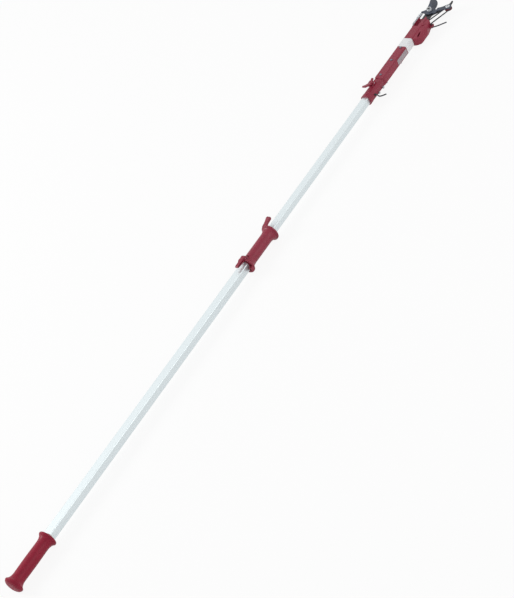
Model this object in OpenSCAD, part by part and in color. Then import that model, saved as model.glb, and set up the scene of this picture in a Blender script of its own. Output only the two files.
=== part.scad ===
// Telescopic tree pruner pole with a pull-to-cut head.
// The pole lies along X: the butt of the end grip is at the origin and the head points to +X.
// +Z is the nut side of the head, -Y is the lever side, +Y is the spring side.

/* [Pole] */
// Width of the square lower tube
lower_w = 25; // [24:0.5:28]
// Width of the square upper tube
upper_w = 22; // [20:0.5:22]
// Wall of both tubes
tube_wall = 1.3; // [1:0.1:1.4]
// Corner radius of both tubes
tube_corner = 2.5; // [1.8:0.1:3]
// Lower tube that shows between the two grips
lower_show = 989; // [700:1:1200]
// Upper tube that shows between the middle grip and the collar
upper_show = 581; // [400:1:700]
// Upper tube that stays inside the lower one
overlap_len = 300; // [220:10:400]
// Sliding gap on each side of a tube
slide_gap = 0.25; // [0.15:0.05:0.3]

/* [Grips] */
// Length of the end grip
end_grip_len = 160; // [150:1:190]
// Barrel radius of the end grip
end_barrel_r = 18.5; // [18.5:0.5:20]
// Rim radius of the end grip
end_rim_r = 27; // [26:0.5:30]
// Solid butt of the end grip, below the tube
butt_len = 45; // [40:1:55]
// Length of the middle grip
mid_grip_len = 140; // [130:1:170]
// Barrel radius of the middle grip
mid_barrel_r = 18; // [18:0.5:20]
// Flange radius of the middle grip
mid_rim_r = 27.5; // [26.5:0.5:30]
// Length of one flare
flare_len = 24; // [18:1:28]
// Thickness of a flange's rim
rim_t = 6; // [5:0.5:7]

/* [Collar] */
// Length of the collar
collar_len = 78; // [75:1:100]
// Width of the collar across its flats
collar_w = 32; // [30:0.5:36]
// Neck between collar and housing
neck_len = 8; // [6:1:14]
// Length of the latch finger from its pin
latch_len = 42; // [38:1:48]

/* [Housing] */
// Length of the housing from its lower end to its mouth
housing_len = 302; // [295:1:330]
// Width of the long box
box_w = 33; // [32.5:0.5:36]
// Distance from the pole's axis to the box's back face
box_back = 13.2; // [13:0.1:15]
// Distance from the pole's axis to the box's front face
box_front = 15.4; // [15.2:0.1:17]
// Distance from the pole's axis to the lever side of the pulley bulge
bulge_y = 32.5; // [32:0.5:33]
// Distance from the upper tube's end to the housing's mouth
tube_to_mouth = 67; // [66:1:80]
// Width of the white band
band_w = 40; // [30:1:42]

/* [Head] */
// Distance from the housing's mouth to the blade pivot
mouth_to_pivot = 41; // [40:0.5:46]
// Thickness of the counter blade
hook_t = 3.6; // [3:0.1:3.6]
// Thickness of the cutting blade and its lever
blade_t = 3.5; // [3:0.1:3.5]
// Distance from the pivot to the lever pulley
lever_len = 64; // [60:0.5:66]
// Radius of the pivot bolt
bolt_r = 5; // [4:0.25:5]
// Width of the pivot nut across its flats
nut_af = 17; // [15:0.5:18]

/* [Cord and pulleys] */
// Diameter of the cord
cord_d = 4; // [3:0.25:4.5]
// Radius of the cord's centre line round a pulley
pitch_r = 9.5; // [9:0.25:10]
// Rim radius of the lever pulley
pulley_rim_r = 12; // [12:0.25:13.5]
// Rim radius of the guide pulley
guide_rim_r = 11.5; // [11:0.25:11.75]
// Width of a pulley
pulley_w = 7; // [6:0.25:7]
// Radius of the screw or pin that a pulley turns on
axle_r = 3; // [2.5:0.25:3.5]

/* [Return spring] */
// Outer diameter of the spring
spring_od = 10.5; // [9:0.25:11]
// Diameter of the spring wire
wire_d = 1.5; // [1.2:0.1:1.6]
// Turns of the spring
spring_turns = 22; // [16:1:24]

/* [Hidden] */
$fn = 48;
red = "#9c2c3e";
black = "#1c1d20";
silver = "#cfd6d9";
zinc = "#b9bcbf";
white = "#f2f2ee";

run_gap = 0.05;
seat_gap = 0.05;
flat_gap = 0.4;
groove_gap = 0.35;

// Places along the pole
lower_x0 = butt_len + 0.5;
mid_x0 = end_grip_len + lower_show;
mid_x1 = mid_x0 + mid_grip_len;
bush_len = 9;
lower_x1 = mid_x1 - bush_len - 1;
collar_x0 = mid_x1 + upper_show;
collar_x1 = collar_x0 + collar_len;
neck_x1 = collar_x1 + neck_len;
housing_x0 = neck_x1 + 1;
mouth_x = housing_x0 + housing_len;
pivot_x = mouth_x + mouth_to_pivot;
pivot_y = 2;
upper_x0 = mid_x1 - overlap_len;
upper_x1 = mouth_x - tube_to_mouth;
lower_in = lower_w - 2 * tube_wall;
upper_in = upper_w - 2 * tube_wall;

// Set screws of the middle grip
set_screw_xs = [mid_x0 + 0.4 * mid_grip_len, mid_x0 + 0.75 * mid_grip_len];

// Rims of the end grip: a domed butt with a flat middle, and a thinner rim at the top
butt_flat_r = 12;
butt_dome = 10;
end_top_r = end_rim_r - 1;
top_rim_t = 4.5;

// Screw that holds the end grip, from below into the tube's plug
grip_screw_x = lower_x0 + 18;
grip_screw_r = 2.2;
grip_screw_head_r = 4;
grip_screw_seat = lower_w / 2 + 3;

// Heights of the head's plates
hook_top = hook_t / 2;
blade_z0 = hook_top + flat_gap;
blade_z1 = blade_z0 + blade_t;
pulley_z0 = hook_top + 0.8;
pulley_z1 = pulley_z0 + pulley_w;
cord_z = (pulley_z0 + pulley_z1) / 2;
arm_z0 = pulley_z1 + 0.3;
arm_z1 = arm_z0 + blade_t;
cord_r = cord_d / 2;

// Lever pulley, guide pulley and cord lug, seen from the pivot
lever_angle = -75.4;
lever_at = lever_len * [cos(lever_angle), sin(lever_angle)];
guide_at = [-78.5, -20];
lug_hole = [-62.8, -39];

// Holes of the head's pocket, seen from the pivot
saw_hole_a = [-57, 3.8];
saw_hole_b = [-70, -4.8];
saw_hole_r = 2.25;
shank_screw_at = [-51, -5.7];
shank_screw_r = 2.5;
shank_sink_r = 4;
pocket_floor = hook_top + 3.4;

// Cord route worked out from the two pulleys
function unit(a) = [cos(a), sin(a)];
strand_angle = atan2(lever_at[1] - guide_at[1], lever_at[0] - guide_at[0]);
lug_vec = lever_at - lug_hole;
lug_dist = norm(lug_vec);
lug_angle = atan2(lug_vec[1], lug_vec[0]) - asin(pitch_r / lug_dist);
lug_tangent = sqrt(lug_dist * lug_dist - pitch_r * pitch_r);
lug_bend = 6;

// Spring places, seen from the pivot
eye_at = [-6.9, 24];
eye_r = 3.75;
coil_r = (spring_od - wire_d) / 2;
loop_step = 3;
spring_y = 23.5;
spring_z = (blade_z0 + blade_z1) / 2;
coil_x1 = eye_at[0] - loop_step - coil_r;
coil_x0 = -64;
spring_pin_r = 1.4;
guide_boss_r = 4;
spring_pin_at = [coil_x0 - loop_step - coil_r + wire_d / 2 + spring_pin_r + 0.15, spring_y];

// Clamp lever on the middle grip and latch on the collar
clamp_at = [mid_x0 + 8, 24];
clamp_w = 9;
clamp_pin_r = 2;
clamp_cam_r = 7.2;
clamp_reach = 42;
shoe_z0 = upper_w / 2 + slide_gap;
shoe_z1 = clamp_at[1] - clamp_cam_r - 1.3 - 0.25;
latch_at = [collar_x1 - 20, collar_w / 2 + 5];
latch_y = 5;
latch_w = 10;
latch_pin_r = 2;
latch_hub_r = 4.6;

// Collar bolts and cord exit
bolt_xs = [collar_x0 + 46, collar_x1 - 6];
collar_bolt_r = 2.5;
collar_bolt_z = -6.5;
cord_exit_x = collar_x0 + 27;
cord_exit_z = 2;

// Housing places, seen from the pivot
box_x0 = -(housing_len + mouth_to_pivot);
mouth = -mouth_to_pivot;
bulge_len = 108.5;
bulge_x0 = mouth - bulge_len;
box_len = bulge_x0 - box_x0;
band_inset = 0.5;
band_x1 = bulge_x0 - band_inset;
gib_t = 1.6;
channel_y = upper_w / 2 + slide_gap;
channel_front = channel_y + gib_t + 0.1;
gib_first_x = box_x0 + 16;
gib_last_x = band_x1 - band_w - 6;
gib_screw_xs = [gib_first_x, gib_first_x + 0.54 * (gib_last_x - gib_first_x), gib_last_x];
gib_screw_r = 2;
shell_screw_r = 1.5;
shell_head_r = 2.7;
shell_screw_y = upper_w / 2 + slide_gap + shell_screw_r + 0.6;
shell_first_x = box_x0 + 14;
shell_mid_x = box_x0 + 0.56 * box_len;
bulge_screw_in = [50, -34];
bump_y = bulge_y + 10.5;
bump_outline = [
    [mouth - 28, -bulge_y], [mouth - 45, -bulge_y - 5], [mouth - 60, -bump_y], [mouth - 84, -bump_y],
    [mouth - 97, -bump_y + 5.5], [mouth - 106, -bump_y + 17], [bulge_x0 + 0.5, -box_w / 2 - 2]
];
bulge_section = [
    [box_w / 2 - 3.5, -box_back], [box_w / 2, -box_back + 3.5], [box_w / 2, box_front - 3.5],
    [box_w / 2 - 3.5, box_front], [-box_w / 2 + 2, box_front], [-box_w / 2 - 1.5, box_front - 2.4],
    [-bump_y + 17, box_front - 2.6], [-bump_y + 11, box_front - 3.8], [-bump_y + 6, box_front - 6.6],
    [-bump_y + 2, box_front - 11], [-bump_y, box_front - 16.4], [-bump_y, -box_back + 5.5],
    [-bump_y + 3, -box_back + 1.5], [-bump_y + 7, -box_back]
];
shell_screw_at = [
    [shell_first_x, shell_screw_y], [shell_first_x, -shell_screw_y], [shell_mid_x, shell_screw_y],
    [shell_mid_x, -shell_screw_y], [bulge_x0 + 20, shell_screw_y],
    [bulge_x0 + bulge_screw_in[0], bulge_screw_in[1]]
];
shank_end = -90;
shank_half = 13.5;
hub_r = 16;
beyond = 60;
spring_boss_at = [mouth - 54, box_w / 2 + 2];
spring_boss_r = 4;
cord_slot_at = [mouth - 85, -28, 2];
cord_slot_len = 30;
cord_slot_w = 5;
cord_slot_turn = 8;
cord_lug_outline = [
    [mouth - 12, -20], [mouth - 14, -41], [mouth - 19, -44], [mouth - 27, -41.5], [mouth - 31, -36],
    [mouth - 31, -20]
];
cord_lug_t = 4;

// Curves

// A smooth curve through the points, with n steps between two of them
function spline(p, n) = [
    for (i = [0 : len(p) - 2], k = [0 : n - 1])
        let (
            a = p[max(i - 1, 0)], b = p[i], c = p[i + 1], d = p[min(i + 2, len(p) - 1)],
            t = k / n
        )
        0.5 * (2 * b + (c - a) * t + (2 * a - 5 * b + 4 * c - d) * t * t
            + (3 * b - a - 3 * c + d) * t * t * t),
    p[len(p) - 1]
];

// A quarter ellipse that leaves a barrel and rises to a rim, as [radius, place] points
function flare(x0, x1, r0, r1, n = 8) = [
    for (i = [0 : n]) [r0 + (r1 - r0) * (1 - cos(90 * i / n)), x0 + (x1 - x0) * sin(90 * i / n)]
];
function backward(p) = [for (i = [len(p) - 1 : -1 : 0]) p[i]];
function direction(p, i) =
    let (v = p[min(i + 1, len(p) - 1)] - p[max(i - 1, 0)]) v / norm(v);

// A round tube swept along the points; side is a direction that the path never follows
module tube(p, r, sides, side) {
    last = len(p) - 1;
    points = [
        for (i = [0 : last])
            let (
                t = direction(p, i),
                u0 = cross(t, side), u = u0 / norm(u0), v = cross(t, u)
            )
            for (k = [0 : sides - 1]) p[i] + r * (cos(360 * k / sides) * u + sin(360 * k / sides) * v)
    ];
    walls = [
        for (i = [0 : last - 1], k = [0 : sides - 1])
            let (a = i * sides + k, b = i * sides + (k + 1) % sides)
            each [[a, a + sides, b], [b, a + sides, b + sides]]
    ];
    top = last * sides;
    caps = [for (k = [1 : sides - 2]) each [[0, k, k + 1], [top, top + k + 1, top + k]]];
    polyhedron(points, concat(walls, caps), convexity = 10);
}

// Plain bodies

module rod_x(x0, x1, r) translate([x0, 0, 0]) rotate([0, 90, 0]) cylinder(r = r, h = x1 - x0);
module rod_y(y0, y1, r) translate([0, y0, 0]) rotate([-90, 0, 0]) cylinder(r = r, h = y1 - y0);
module rod_z(z0, z1, r) translate([0, 0, z0]) cylinder(r = r, h = z1 - z0);
module slab(x0, x1, y0, y1, z0, z1) translate([x0, y0, z0]) cube([x1 - x0, y1 - y0, z1 - z0]);
module plate(points, z0, z1) translate([0, 0, z0]) linear_extrude(z1 - z0) polygon(points);
module across_y(points, w) rotate([90, 0, 0]) linear_extrude(w, center = true) polygon(points);
module along_x(points, x0, x1)
    translate([x0, 0, 0]) rotate([90, 0, 90]) linear_extrude(x1 - x0) polygon(points);
module turned_x(points) rotate([0, 90, 0]) rotate_extrude() polygon(points);
module hex_z(z0, z1, af) translate([0, 0, z0]) cylinder(r = af / 2 / cos(30), h = z1 - z0, $fn = 6);

// A square bar along X with round corners
module bar(x0, x1, w, h, r) {
    slab(x0, x1, -w / 2 + r, w / 2 - r, -h / 2, h / 2);
    slab(x0, x1, -w / 2, w / 2, -h / 2 + r, h / 2 - r);
    for (sy = [-1, 1], sz = [-1, 1])
        translate([0, sy * (w / 2 - r), sz * (h / 2 - r)]) rod_x(x0, x1, r);
}

// A rectangle with cut corners, as [y, z] points
function cut_square(y0, y1, z0, z1, c) = [
    [y0 + c, z0], [y1 - c, z0], [y1, z0 + c], [y1, z1 - c],
    [y1 - c, z1], [y0 + c, z1], [y0, z1 - c], [y0, z0 + c]
];

module at_pivot() translate([pivot_x, pivot_y, 0]) children();
module at_head(p) translate([pivot_x + p[0], pivot_y + p[1], 0]) children();

// Lower pole

module lower_tube() color(silver) difference() {
    bar(lower_x0, lower_x1, lower_w, lower_w, tube_corner);
    bar(lower_x0 - 1, lower_x1 + 1, lower_in, lower_in, tube_corner - tube_wall);
    slab(clamp_at[0] - 7, clamp_at[0] + 7, -5, 5, 0, lower_w);
    translate([grip_screw_x, 0, 0]) rod_z(-40, 0, grip_screw_r + seat_gap);
}

module end_grip() color(red) difference() {
    turned_x(concat(
        [[0, 0], [butt_flat_r, 0], [end_rim_r - 7, 1.6], [end_rim_r - 3, 4.2], [end_rim_r - 0.8, 7.4],
         [end_rim_r, butt_dome]],
        backward(flare(butt_dome + flare_len, butt_dome + 1, end_barrel_r - 0.5, end_rim_r - 0.4)),
        [[end_barrel_r, end_grip_len / 2]],
        flare(end_grip_len - top_rim_t - flare_len, end_grip_len - top_rim_t,
            end_barrel_r - 0.5, end_top_r - 0.4),
        [[end_top_r, end_grip_len - top_rim_t + 1], [end_top_r, end_grip_len - 1.2],
         [end_top_r - 1.2, end_grip_len], [0, end_grip_len]]
    ));
    bar(butt_len, end_grip_len + 1, lower_w + 0.2, lower_w + 0.2, tube_corner);
    bar(end_grip_len - 7, end_grip_len + 1, lower_w + 6.2, lower_w + 6.2, 5);
    translate([grip_screw_x, 0, 0]) {
        rod_z(-40, 0, grip_screw_r + seat_gap);
        rod_z(-40, -grip_screw_seat, grip_screw_head_r + 0.4);
    }
}

module tube_plug() color(black) difference() {
    bar(lower_x0, lower_x0 + 35, lower_in - 0.1, lower_in - 0.1, tube_corner - tube_wall);
    translate([grip_screw_x, 0, 0]) rod_z(-40, 0.1, grip_screw_r + seat_gap);
}

module grip_screw() color(zinc) difference() {
    translate([grip_screw_x, 0, 0]) union() {
        rod_z(-grip_screw_seat - 3, -grip_screw_seat - seat_gap, grip_screw_head_r);
        rod_z(-grip_screw_seat - 1, 0, grip_screw_r);
    }
    translate([grip_screw_x, 0, 0]) hex_z(-grip_screw_seat - 4, -grip_screw_seat - 1.2, 3);
}

module grip_ferrule() color(white) difference() {
    bar(end_grip_len - 6.9, end_grip_len + 4, lower_w + 6, lower_w + 6, 5);
    bar(end_grip_len - 8, end_grip_len + 5, lower_w + 0.1, lower_w + 0.1, tube_corner);
}

module mid_grip() color(red) difference() {
    union() {
        turned_x(concat(
            [[0, mid_x0], [mid_barrel_r, mid_x0], [mid_barrel_r, mid_x0 + 3], [mid_rim_r - 3, mid_x0 + 3],
             [mid_rim_r - 3, mid_x0], [mid_rim_r - 1.5, mid_x0], [mid_rim_r, mid_x0 + 1.5],
             [mid_rim_r, mid_x0 + rim_t - 1]],
            backward(flare(mid_x0 + rim_t + flare_len, mid_x0 + rim_t, mid_barrel_r, mid_rim_r - 0.6)),
            flare(mid_x1 - rim_t - flare_len, mid_x1 - rim_t, mid_barrel_r, mid_rim_r - 0.6),
            [[mid_rim_r, mid_x1 - rim_t + 1], [mid_rim_r, mid_x1 - 1.5],
             [mid_rim_r - 1.5, mid_x1], [0, mid_x1]]
        ));
        for (s = [-1, 1])
            translate([0, s * (clamp_w / 2 + 2.5), 0]) across_y([
                [mid_x0, 20], [mid_x0 + 19, 18], [clamp_at[0] + 5, clamp_at[1] + 3],
                [clamp_at[0] + 2, clamp_at[1] + 5], [clamp_at[0] - 4, clamp_at[1] + 5],
                [mid_x0, clamp_at[1] + 2]
            ], 4);
        mid_catch();
        mid_horn();
    }
    bar(mid_x0 - 1, lower_x1 + 0.2, lower_w + 0.2, lower_w + 0.2, tube_corner);
    rod_x(lower_x1 + 0.1, mid_x1 + 1, mid_barrel_r - 1);
    slab(mid_x0 - 9, mid_x0 + 24, -clamp_w / 2 - flat_gap, clamp_w / 2 + flat_gap, lower_w / 2, 60);
    translate([clamp_at[0], 0, clamp_at[1]]) rod_y(-20, 20, clamp_pin_r + seat_gap);
    for (x = set_screw_xs)
        translate([x, 0, 0]) rod_z(-40, 0, 2 + seat_gap);
}

// Catch on the upper flange, with its ear
module mid_catch() {
    translate([0, 8.5, 0]) across_y([
        [mid_x1 - 4, 20], [mid_x1 + 10, 24], [mid_x1 + 25, 25.5], [mid_x1 + 28, 29],
        [mid_x1 + 26, 35], [mid_x1 + 20, 36], [mid_x1 + 13, 32.5], [mid_x1 - 4, 26.5]
    ], 11);
    translate([0, 18, 0]) across_y([
        [mid_x1 - 4, 14], [mid_x1 + 6, 16], [mid_x1 + 9, 19], [mid_x1 + 6, 22.5], [mid_x1 - 4, 20]
    ], 6);
}

// Short horn on the lower flange, hollow towards the tube
module mid_horn() difference() {
    slab(mid_x0 - 10, mid_x0 + 4, -mid_rim_r + 1, -mid_rim_r + 9, -10, 4);
    slab(mid_x0 - 11, mid_x0 + 1, -mid_rim_r + 3, -mid_rim_r + 7, -7.5, 1.5);
}

module top_bush() color(black) difference() {
    rod_x(lower_x1 + 0.2, lower_x1 + bush_len, mid_barrel_r - 1.1);
    bar(lower_x1 - 1, lower_x1 + bush_len + 1, upper_w + 2 * slide_gap, upper_w + 2 * slide_gap, tube_corner);
}

module grip_set_screws() color(zinc)
    for (x = set_screw_xs)
        translate([x, 0, 0]) difference() {
            rod_z(-mid_barrel_r + 0.6, -lower_w / 2, 2);
            hex_z(-mid_barrel_r, -mid_barrel_r + 2.4, 2);
        }

module clamp_pin() color(zinc)
    translate([clamp_at[0], 0, clamp_at[1]])
        rod_y(-clamp_w / 2 - 4.9, clamp_w / 2 + 4.9, clamp_pin_r);

module clamp_lever() color(red) translate([clamp_at[0], 0, clamp_at[1]]) difference() {
    union() {
        translate([0, 0, -1.3]) rod_y(-clamp_w / 2, clamp_w / 2, clamp_cam_r);
        across_y([
            [3, 6], [-14, 6.5], [-clamp_reach + 4, 6], [-clamp_reach, 3.5], [-clamp_reach + 1, 0.5],
            [-clamp_reach + 6, -1.5], [-14, -3], [-6, -6]
        ], clamp_w);
    }
    rod_y(-20, 20, clamp_pin_r + run_gap);
    slab(-clamp_reach + 3, -12, -clamp_w, clamp_w / 2 - 2.5, 0, 4);
}

module clamp_shoe() color(black)
    slab(clamp_at[0] - 6.5, clamp_at[0] + 6.5, -4.6, 4.6, shoe_z0, shoe_z1);

// Upper pole

module upper_tube() color(silver) difference() {
    bar(upper_x0, upper_x1, upper_w, upper_w, tube_corner);
    bar(upper_x0 - 1, upper_x1 + 1, upper_in, upper_in, tube_corner - tube_wall);
    for (x = bolt_xs)
        translate([x, 0, collar_bolt_z]) rod_y(-upper_w, upper_w, collar_bolt_r + seat_gap);
    translate([cord_exit_x + 1, 0, cord_exit_z + 0.4]) rod_y(-upper_w, 0, cord_r + 1.6);
}

module slider_plug() color(black) difference() {
    union() {
        bar(upper_x0 - 5, upper_x0, upper_w, upper_w, tube_corner);
        bar(upper_x0 - 5, upper_x0 + 25, upper_in - 0.1, upper_in - 0.1, tube_corner - tube_wall);
    }
    rod_x(upper_x0 - 6, upper_x0 + 26, upper_in / 2 - 2);
}

module tube_head_plug() color(black) difference() {
    union() {
        bar(upper_x1, upper_x1 + 5, upper_w, upper_w, tube_corner);
        bar(upper_x1 - 20, upper_x1 + 5, upper_in - 0.1, upper_in - 0.1, tube_corner - tube_wall);
    }
    translate([0, -6.9, 5.2]) rod_x(upper_x1 - 21, upper_x1 + 6, cord_r + 0.9);
}

module collar() color(red) difference() {
    union() {
        along_x(cut_square(-collar_w / 2, collar_w / 2, -collar_w / 2, collar_w / 2, 7),
            collar_x0, collar_x1);
        rod_x(collar_x0, collar_x0 + 12, collar_w / 2 + 2.5);
        bar(collar_x1 - 1, neck_x1, collar_w - 4, upper_w + 3.4, tube_corner);
        for (s = [-1, 1])
            translate([0, latch_y + s * (latch_w / 2 + flat_gap + 2), 0]) across_y([
                [latch_at[0] - 11, collar_w / 2 - 2], [latch_at[0] + 11, collar_w / 2 - 2],
                [latch_at[0] + 5, latch_at[1] + 4], [latch_at[0] - 5, latch_at[1] + 4]
            ], 4);
    }
    bar(collar_x0 - 1, neck_x1 + 1, upper_w + 0.2, upper_w + 0.2, tube_corner);
    for (x = bolt_xs)
        translate([x, 0, collar_bolt_z]) rod_y(-collar_w, collar_w, collar_bolt_r + seat_gap);
    translate([cord_exit_x, 0, cord_exit_z]) rod_y(-collar_w, 0, cord_r + 0.8);
    translate([latch_at[0], 0, latch_at[1]]) rod_y(-20, 20, latch_pin_r + seat_gap);
}

module collar_bolts() color(zinc)
    for (x = bolt_xs)
        translate([x, 0, collar_bolt_z]) difference() {
            union() {
                rod_y(-collar_w / 2 - 6, collar_w / 2 + 0.2, collar_bolt_r);
                rod_y(collar_w / 2 + 0.05, collar_w / 2 + 3.2, 4.4);
            }
            translate([0, collar_w / 2 + 1.4, 0]) rotate([-90, 0, 0]) cylinder(r = 1.8, h = 3, $fn = 6);
        }

module collar_nuts() color(zinc)
    for (x = bolt_xs)
        translate([x, -collar_w / 2 - 0.05, collar_bolt_z]) rotate([90, 0, 0]) difference() {
            hex_z(0, 4.5, 8);
            rod_z(-1, 6, collar_bolt_r + seat_gap);
        }

module latch_pin() color(zinc)
    translate([latch_at[0], latch_y, latch_at[1]])
        rod_y(-latch_w / 2 - flat_gap - 3.9, latch_w / 2 + flat_gap + 3.9, latch_pin_r);

module latch() color(red) translate([latch_at[0], latch_y, latch_at[1]]) difference() {
    union() {
        rod_y(-latch_w / 2, latch_w / 2, latch_hub_r);
        across_y(spline([
            [-1, 4.4], [-12, 7.5], [-25, 12.5], [-latch_len + 3, 19.5], [-latch_len, 18],
            [-latch_len + 1, 14.5], [-26, 7.5], [-13, 2.5], [-3, -3.3]
        ], 3), latch_w);
        across_y([[-2, 3.5], [3.2, 3], [8, 6], [11, 10], [7, 10], [2, 7.5]], latch_w - 3);
    }
    rod_y(-20, 20, latch_pin_r + run_gap);
}

// Sliding head

module housing_body() {
    intersection() {
        along_x(cut_square(-box_w / 2, box_w / 2, -box_back, box_front, 3), box_x0, bulge_x0 + 1);
        plate([
            [box_x0, -box_w / 2 + 4], [box_x0 + 8, -box_w / 2], [bulge_x0 + 2, -box_w / 2],
            [bulge_x0 + 2, box_w / 2], [box_x0 + 8, box_w / 2], [box_x0, box_w / 2 - 4]
        ], -30, 30);
        across_y([
            [box_x0, -box_back + 0.8], [box_x0 + 6, -box_back], [bulge_x0 + 2, -box_back],
            [bulge_x0 + 2, box_front], [box_x0 + 6, box_front], [box_x0, box_front - 1.2]
        ], 80);
    }
    intersection() {
        plate(concat([
            [bulge_x0, -box_w / 2], [bulge_x0, box_w / 2], [mouth - 5, box_w / 2], [mouth, box_w / 2 - 3],
            [mouth, -12], [mouth - 9, -14], [mouth - 11, -bulge_y + 6], [mouth - 17, -bulge_y]
        ], spline(bump_outline, 3)), -30, 30);
        along_x(bulge_section, bulge_x0 - 1, mouth + 1);
    }
}

// Room inside both shells, in the pole's own Y
module housing_room() {
    slab(box_x0 - 1, upper_x1 - pivot_x + 8, -channel_y, channel_y, -channel_y, channel_y);
    slab(box_x0 + 8, band_x1 + 4, -6.5, 6.5, 0, channel_front);
    slab(shank_end - 2, mouth + 1, -shank_half - 0.1, shank_half + 0.1,
        -hook_top - seat_gap, hook_top + seat_gap);
    slab(upper_x1 - pivot_x - 1, guide_at[0], -13.5, -4, cord_z - 3.2, cord_z + 3.2);
    translate([guide_at[0], guide_at[1] + pivot_y, 0]) {
        rod_z(pulley_z0 - 0.5, pulley_z1 + 0.5, guide_rim_r + 0.6);
        rod_z(-box_back + 3, box_front - 3, axle_r + seat_gap);
        rotate([0, 0, strand_angle]) translate([0, pitch_r, cord_z]) rod_x(0, 60, cord_r + 1);
    }
    for (p = [saw_hole_a, saw_hole_b])
        translate([p[0], p[1] + pivot_y, 0]) rod_z(-40, 40, saw_hole_r);
    translate([shank_screw_at[0], shank_screw_at[1] + pivot_y, 0])
        rod_z(-box_back + 2, 40, shank_screw_r + seat_gap);
    for (x = gib_screw_xs)
        translate([x, 0, 0]) rod_z(0, 40, gib_screw_r + seat_gap);
    for (p = shell_screw_at)
        translate([p[0], p[1], 0]) {
            rod_z(-40, 8.1, shell_screw_r + seat_gap);
            rod_z(-40, -box_back + 1.8, shell_head_r + 0.2);
        }
}

module housing_front() color(red) translate([pivot_x, 0, 0]) difference() {
    union() {
        intersection() {
            housing_body();
            slab(box_x0 - 1, 0, -beyond, beyond, 0, beyond);
        }
        translate([guide_at[0], guide_at[1] + pivot_y, 0]) rod_z(box_front - 4, box_front, guide_boss_r);
        translate(spring_boss_at) rod_z(0, 5, spring_boss_r);
    }
    housing_room();
    plate([
        [mouth + 1, 14.2], [mouth - 47, 14.2], [mouth - 47, -4], [mouth - 24, -4], [mouth - 19, -9],
        [mouth + 1, -9]
    ], pocket_floor, beyond);
    translate([shank_screw_at[0], shank_screw_at[1] + pivot_y, pocket_floor - 2.6])
        cylinder(r1 = shank_screw_r + 0.1, r2 = shank_sink_r, h = 2.7);
    translate(cord_slot_at) rotate([0, 0, cord_slot_turn])
        plate([
            [-cord_slot_len / 2, 0],
            [-cord_slot_len / 4, -cord_slot_w / 2], [cord_slot_len / 4, -cord_slot_w / 2],
            [cord_slot_len / 2, 0],
            [cord_slot_len / 4, cord_slot_w / 2], [-cord_slot_len / 4, cord_slot_w / 2]
        ], 0, beyond);
}

module housing_back() color(red) translate([pivot_x, 0, 0]) difference() {
    union() {
        intersection() {
            housing_body();
            slab(box_x0 - 1, 0, -beyond, beyond, -beyond, 0);
        }
        plate(cord_lug_outline, -cord_lug_t, 0);
        spring_lug();
        translate(spring_boss_at) rod_z(-6, 0, spring_boss_r);
    }
    housing_room();
    translate([lug_hole[0], lug_hole[1] + pivot_y, 0]) rod_z(-40, 1, cord_r + 0.6);
    translate([spring_pin_at[0], spring_pin_at[1] + pivot_y, 0]) rod_z(-6, 40, spring_pin_r + seat_gap);
}

// Red lug on the spring side that carries the spring's pin
module spring_lug() plate([
    [spring_pin_at[0] + 5, 12], [spring_pin_at[0] + 5, spring_y + 4], [spring_pin_at[0] + 2, spring_y + 7.5],
    [spring_pin_at[0] - 4, spring_y + 7.5], [spring_pin_at[0] - 9, spring_y + 3], [spring_pin_at[0] - 14, 12]
], -9, -0.5);

module glide_strip() color(white)
    translate([pivot_x, 0, 0])
        slab(box_x0 + 8.2, band_x1 + 3.8, -6.3, 6.3, channel_y, channel_y + gib_t);

module glide_screws() color(zinc)
    for (x = gib_screw_xs)
        translate([pivot_x + x, 0, 0]) difference() {
            union() {
                rod_z(channel_y + gib_t, box_front + 0.5, gib_screw_r);
                rod_z(box_front + 0.05, box_front + 1.7, 3.6);
            }
            hex_z(box_front + 0.7, box_front + 3, 2.5);
        }

module shell_screws() color(zinc)
    for (p = shell_screw_at)
        translate([pivot_x + p[0], p[1], 0]) difference() {
            union() {
                rod_z(-box_back - 0.6, -box_back + 1.75, shell_head_r);
                rod_z(-box_back + 1, 8, shell_screw_r);
            }
            hex_z(-box_back - 2, -box_back + 1, 2.5);
        }

module label_band() color(white) translate([pivot_x, 0, 0]) difference() {
    along_x(cut_square(-box_w / 2 - 0.5, box_w / 2 + 0.5, -box_back - 0.5, box_front + 0.5, 3.2),
        band_x1 - band_w, band_x1);
    along_x(cut_square(-box_w / 2 - 0.05, box_w / 2 + 0.05, -box_back - 0.05, box_front + 0.05, 3.03),
        band_x1 - band_w - 1, band_x1 + 1);
}

module side_plate() color("#9a8f93") translate([pivot_x, 0, 0])
    slab(band_x1 - band_w - 62, band_x1 - band_w - 3, -box_w / 2 - 0.5, -box_w / 2 - 0.02, -8, 10);

// Inner edge of the hook with its row of teeth, seen from the pivot
tooth_count = 5;
tooth_h = 1.4;
tooth_profile = [[0, 0], [0.18, 0.7], [0.4, 1], [0.6, 1], [0.82, 0.7]];
tooth_curve = spline([[16.6, -30.1], [26.6, -40.3], [39.6, -47.7]], tooth_count);
function toothed() = [
    for (i = [0 : len(tooth_curve) - 2])
        let (t = direction(tooth_curve, i), inward = [-t[1], t[0]])
        let (pitch = tooth_curve[i + 1] - tooth_curve[i])
        each [for (q = tooth_profile) tooth_curve[i] + q[0] * pitch + q[1] * tooth_h * inward]
];

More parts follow.
